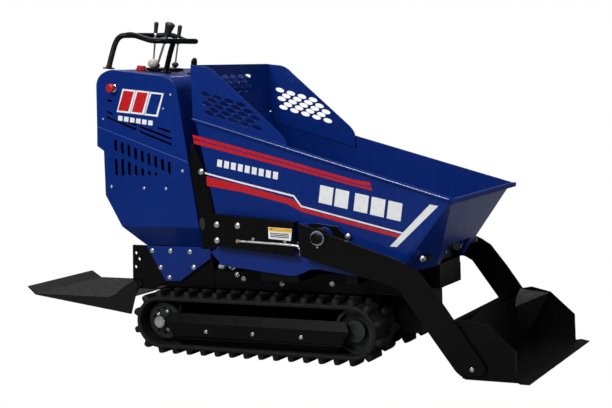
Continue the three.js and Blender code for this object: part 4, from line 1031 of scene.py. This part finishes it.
def valve_fittings(word, side):
    """Three tall unions on the valve, with a plug standing up and one lying rearwards."""
    unions = [
        hex_bolt((x * MM, side * 0.2, z * MM), (0, side, 0), 0.009, 1.6)
        for x, z in ((-167, 331), (-124, 331), (-140, 359))
    ]
    upright = [(0.006, 0), (0.008, 0.002), (0.008, 0.03), (0.005, 0.033)]
    lying = [(0.006, 0), (0.011, 0.002), (0.011, 0.024), (0.005, 0.03)]
    plugs = [
        turned(upright, (-0.124, side * 0.214, 0.325), (0, 0, 1), 16),
        turned(lying, (-0.146, side * 0.214, 0.331), (-1, 0, 0), 18),
    ]
    mesh_piece("valve_fittings_" + word, unions + plugs, ZINC, "chassis")


def post_and_bracket(word, side):
    """The oval disc on the rear post and the black bracket plate ahead of the arm pin."""
    bracket = [(262, 514), (299, 513.5), (378, 504), (445, 430), (445, 398), (262, 430)]
    film("post_disc_" + word, [oval(-187, 503, 24, 47, steps=24)], flat(296), side, CAST, "chassis", 3)
    film("arm_bracket_" + word, [bracket], flat(318), side, BLACK, "chassis", 1.2)


def hinge_end(word, side):
    """The stub of the hopper hinge with its nut and grease nipple."""
    stub = [(0.009, 0), (0.013, 0.002), (0.013, 0.058), (0.0115, 0.061), (0.0085, 0.0615)]
    nut = [(0.009, 0), (0.0105, 0.001, 1), (0.0105, 0.011, 1), (0.009, 0.0125)]
    nipple = [(0.005, 0), (0.005, 0.008), (0.003, 0.009), (0.0042, 0.013), (0.002, 0.017)]
    x, z = HINGE
    outward = (0, side, 0)
    stub_at = (x, side * 0.196, z)
    turned_piece("hinge_stub_" + word, stub, stub_at, outward, 24, BLACK, "hopper")
    ends = [
        turned(nut, (x, side * 0.257, z), outward, 24, 6),
        turned(nipple, (x, side * 0.2685, z), outward, 16),
    ]
    mesh_piece("hinge_stub_nut_" + word, ends, ZINC, "hopper")


def straight_bead(first, step, count, radius, sides):
    """A thin round bead laid through count points, each a step on from the one before."""
    k = np.arange(count)[:, None]
    return tube(np.array(first) + np.array(step) * k, radius, sides)


def cover_folds(word, side):
    """The two pressed folds along the foot of a track cover."""
    beads = [
        straight_bead((-0.325, side * 0.2905, z), (0.014, 0, 0.00016), 51, 0.0021, 10)
        for z in (0.0625, 0.0735)
    ]
    mesh_piece("cover_folds_" + word, beads, BLACK, "chassis")


for word, side in SIDES:
    arm_pin(word, side)
    lift_pipe(word, side)
    shovel_bolts(word, side)
    valve_fittings(word, side)
    post_and_bracket(word, side)
    hinge_end(word, side)
    cover_folds(word, side)

# Painted highlights: thin pale blue beads where the console's panels meet and along the tub's rolled rim.
# Their lighter blue stands in for light caught on those edges.
seams = [
    straight_bead((-0.6385, side * 0.3004, 0.8725), (0.0402, 0, -0.01403), 11, 0.0011, 8)
    for _, side in SIDES
]
mesh_piece("panel_seam_highlights", seams, PAINTED_HIGHLIGHT, "chassis")
rim_highlight_beads = [
    straight_bead((-0.198, side * 0.3195, 0.8945), (0.1, side * 0.00139, -0.02897), 11, 0.0022, 8)
    for _, side in SIDES
]
mesh_piece("rim_highlight_beads", rim_highlight_beads, PAINTED_HIGHLIGHT, "hopper")


def yoke_blind():
    """A thin black plate that closes the view through the hopper yoke."""
    corners = [(x, y, z) for x in (0.655, 0.6575) for y in (-0.0915, 0.0915) for z in (0.33, 0.409)]
    faces = [(0, 1, 3, 2), (4, 6, 7, 5), (0, 4, 5, 1), (2, 3, 7, 6), (0, 2, 6, 4), (1, 5, 7, 3)]
    mesh_piece("yoke_blind", [(corners, faces)], BLACK, "chassis")


yoke_blind()


# ------------------------------------------------ camera, light and floor
LAMPS = (
    # name, place, what it points at, width, power
    ("key", (-0.6, -4.6, 3.4), (0.1, 0, 0.6), 1.8, 230),
    ("top", (-0.2, 0.3, 4.6), (0.1, 0, 0.5), 2.6, 110),
    ("front", (4.6, -0.6, 2.2), (0.2, 0, 0.6), 1.6, 45),
    ("back", (-2.6, 3.0, 4.2), (0, 0, 0.6), 1.8, 60),
)


def frame_camera():
    """A camera to the machine's right and ahead of it, turned, tilted down and rolled about its own line."""
    camera_data = bpy.data.cameras.new("camera")
    camera_data.lens = 78.505
    camera_data.sensor_width = 36.0
    camera_data.clip_end = 60
    camera = bpy.data.objects.new("camera", camera_data)
    bpy.context.collection.objects.link(camera)
    azimuth, tilt, roll = (math.radians(a) for a in (27.0, 5.407, -2.1416))
    level_ahead = np.array([-math.sin(azimuth), math.cos(azimuth), 0])
    ahead = math.cos(tilt) * level_ahead - math.sin(tilt) * np.array([0, 0, 1])
    level = np.array([math.cos(azimuth), math.sin(azimuth), 0])
    upward = np.cross(level, ahead)
    right = math.cos(roll) * level + math.sin(roll) * upward
    top = -math.sin(roll) * level + math.cos(roll) * upward
    matrix = np.eye(4)
    matrix[:3, 0], matrix[:3, 1], matrix[:3, 2] = right, top, -ahead
    matrix[:3, 3] = (2.39757, -4.51785, 1.02923)
    camera.matrix_world = Matrix(matrix.tolist())
    bpy.context.scene.camera = camera


def pale_world():
    """White where it is seen straight on, and a dim cool grey as a source of light."""
    world = bpy.data.worlds.new("studio")
    world.use_nodes = True
    background = world.node_tree.nodes["Background"]
    background.inputs["Color"].default_value = (1, 1, 1, 1)
    world_tree = world.node_tree
    dim = world_tree.nodes.new("ShaderNodeBackground")
    dim.inputs["Color"].default_value = (0.93, 0.96, 1.0, 1)
    dim.inputs["Strength"].default_value = 0.1
    choose = world_tree.nodes.new("ShaderNodeMixShader")
    seen = world_tree.nodes.new("ShaderNodeLightPath").outputs["Is Camera Ray"]
    world_tree.links.new(seen, choose.inputs[0])
    world_tree.links.new(dim.outputs[0], choose.inputs[1])
    world_tree.links.new(background.outputs[0], choose.inputs[2])
    world_tree.links.new(choose.outputs[0], world_tree.nodes["World Output"].inputs["Surface"])
    bpy.context.scene.world = world
    bpy.context.scene.view_settings.view_transform = "Standard"


def soft_lamps():
    """Square area lamps, each turned so that its back points away from its aim."""
    for name, spot, aim, size, power in LAMPS:
        lamp = bpy.data.lights.new(name, "AREA")
        lamp.size = size
        lamp.energy = power
        obj = bpy.data.objects.new(name, lamp)
        bpy.context.collection.objects.link(obj)
        toward = np.array(aim) - np.array(spot)
        back = -toward / np.linalg.norm(toward)
        east = np.cross((0, 0, 1), back)
        east /= np.linalg.norm(east)
        turn = np.eye(4)
        turn[:3, 0], turn[:3, 1], turn[:3, 2], turn[:3, 3] = east, np.cross(back, east), back, spot
        obj.matrix_world = Matrix(turn.tolist())


def pale_floor():
    """One big square just under the ground line, white where it is seen straight on."""
    size, drop = 40, -0.001
    mesh = bpy.data.meshes.new("floor")
    corners = [(-size, -size, drop), (size, -size, drop), (size, size, drop), (-size, size, drop)]
    mesh.from_pydata(corners, [], [(0, 1, 2, 3)])
    floor = bpy.data.objects.new("floor", mesh)
    bpy.context.collection.objects.link(floor)
    ground = Finish("floor_paint", (0.3, 0.3, 0.3), 0.8)
    ground.vary_color(ground.noise(3, 2), 0.98, 1.02)
    glow = ground.tree.nodes.new("ShaderNodeEmission")
    glow.inputs["Strength"].default_value = 1.0
    choose = ground.tree.nodes.new("ShaderNodeMixShader")
    ground.link(ground.tree.nodes.new("ShaderNodeLightPath").outputs["Is Camera Ray"], choose.inputs[0])
    ground.link(ground.shader.outputs[0], choose.inputs[1])
    ground.link(glow.outputs[0], choose.inputs[2])
    ground.link(choose.outputs[0], ground.tree.nodes["Material Output"].inputs["Surface"])
    mesh.materials.append(ground.material)


frame_camera()
pale_world()
soft_lamps()
pale_floor()
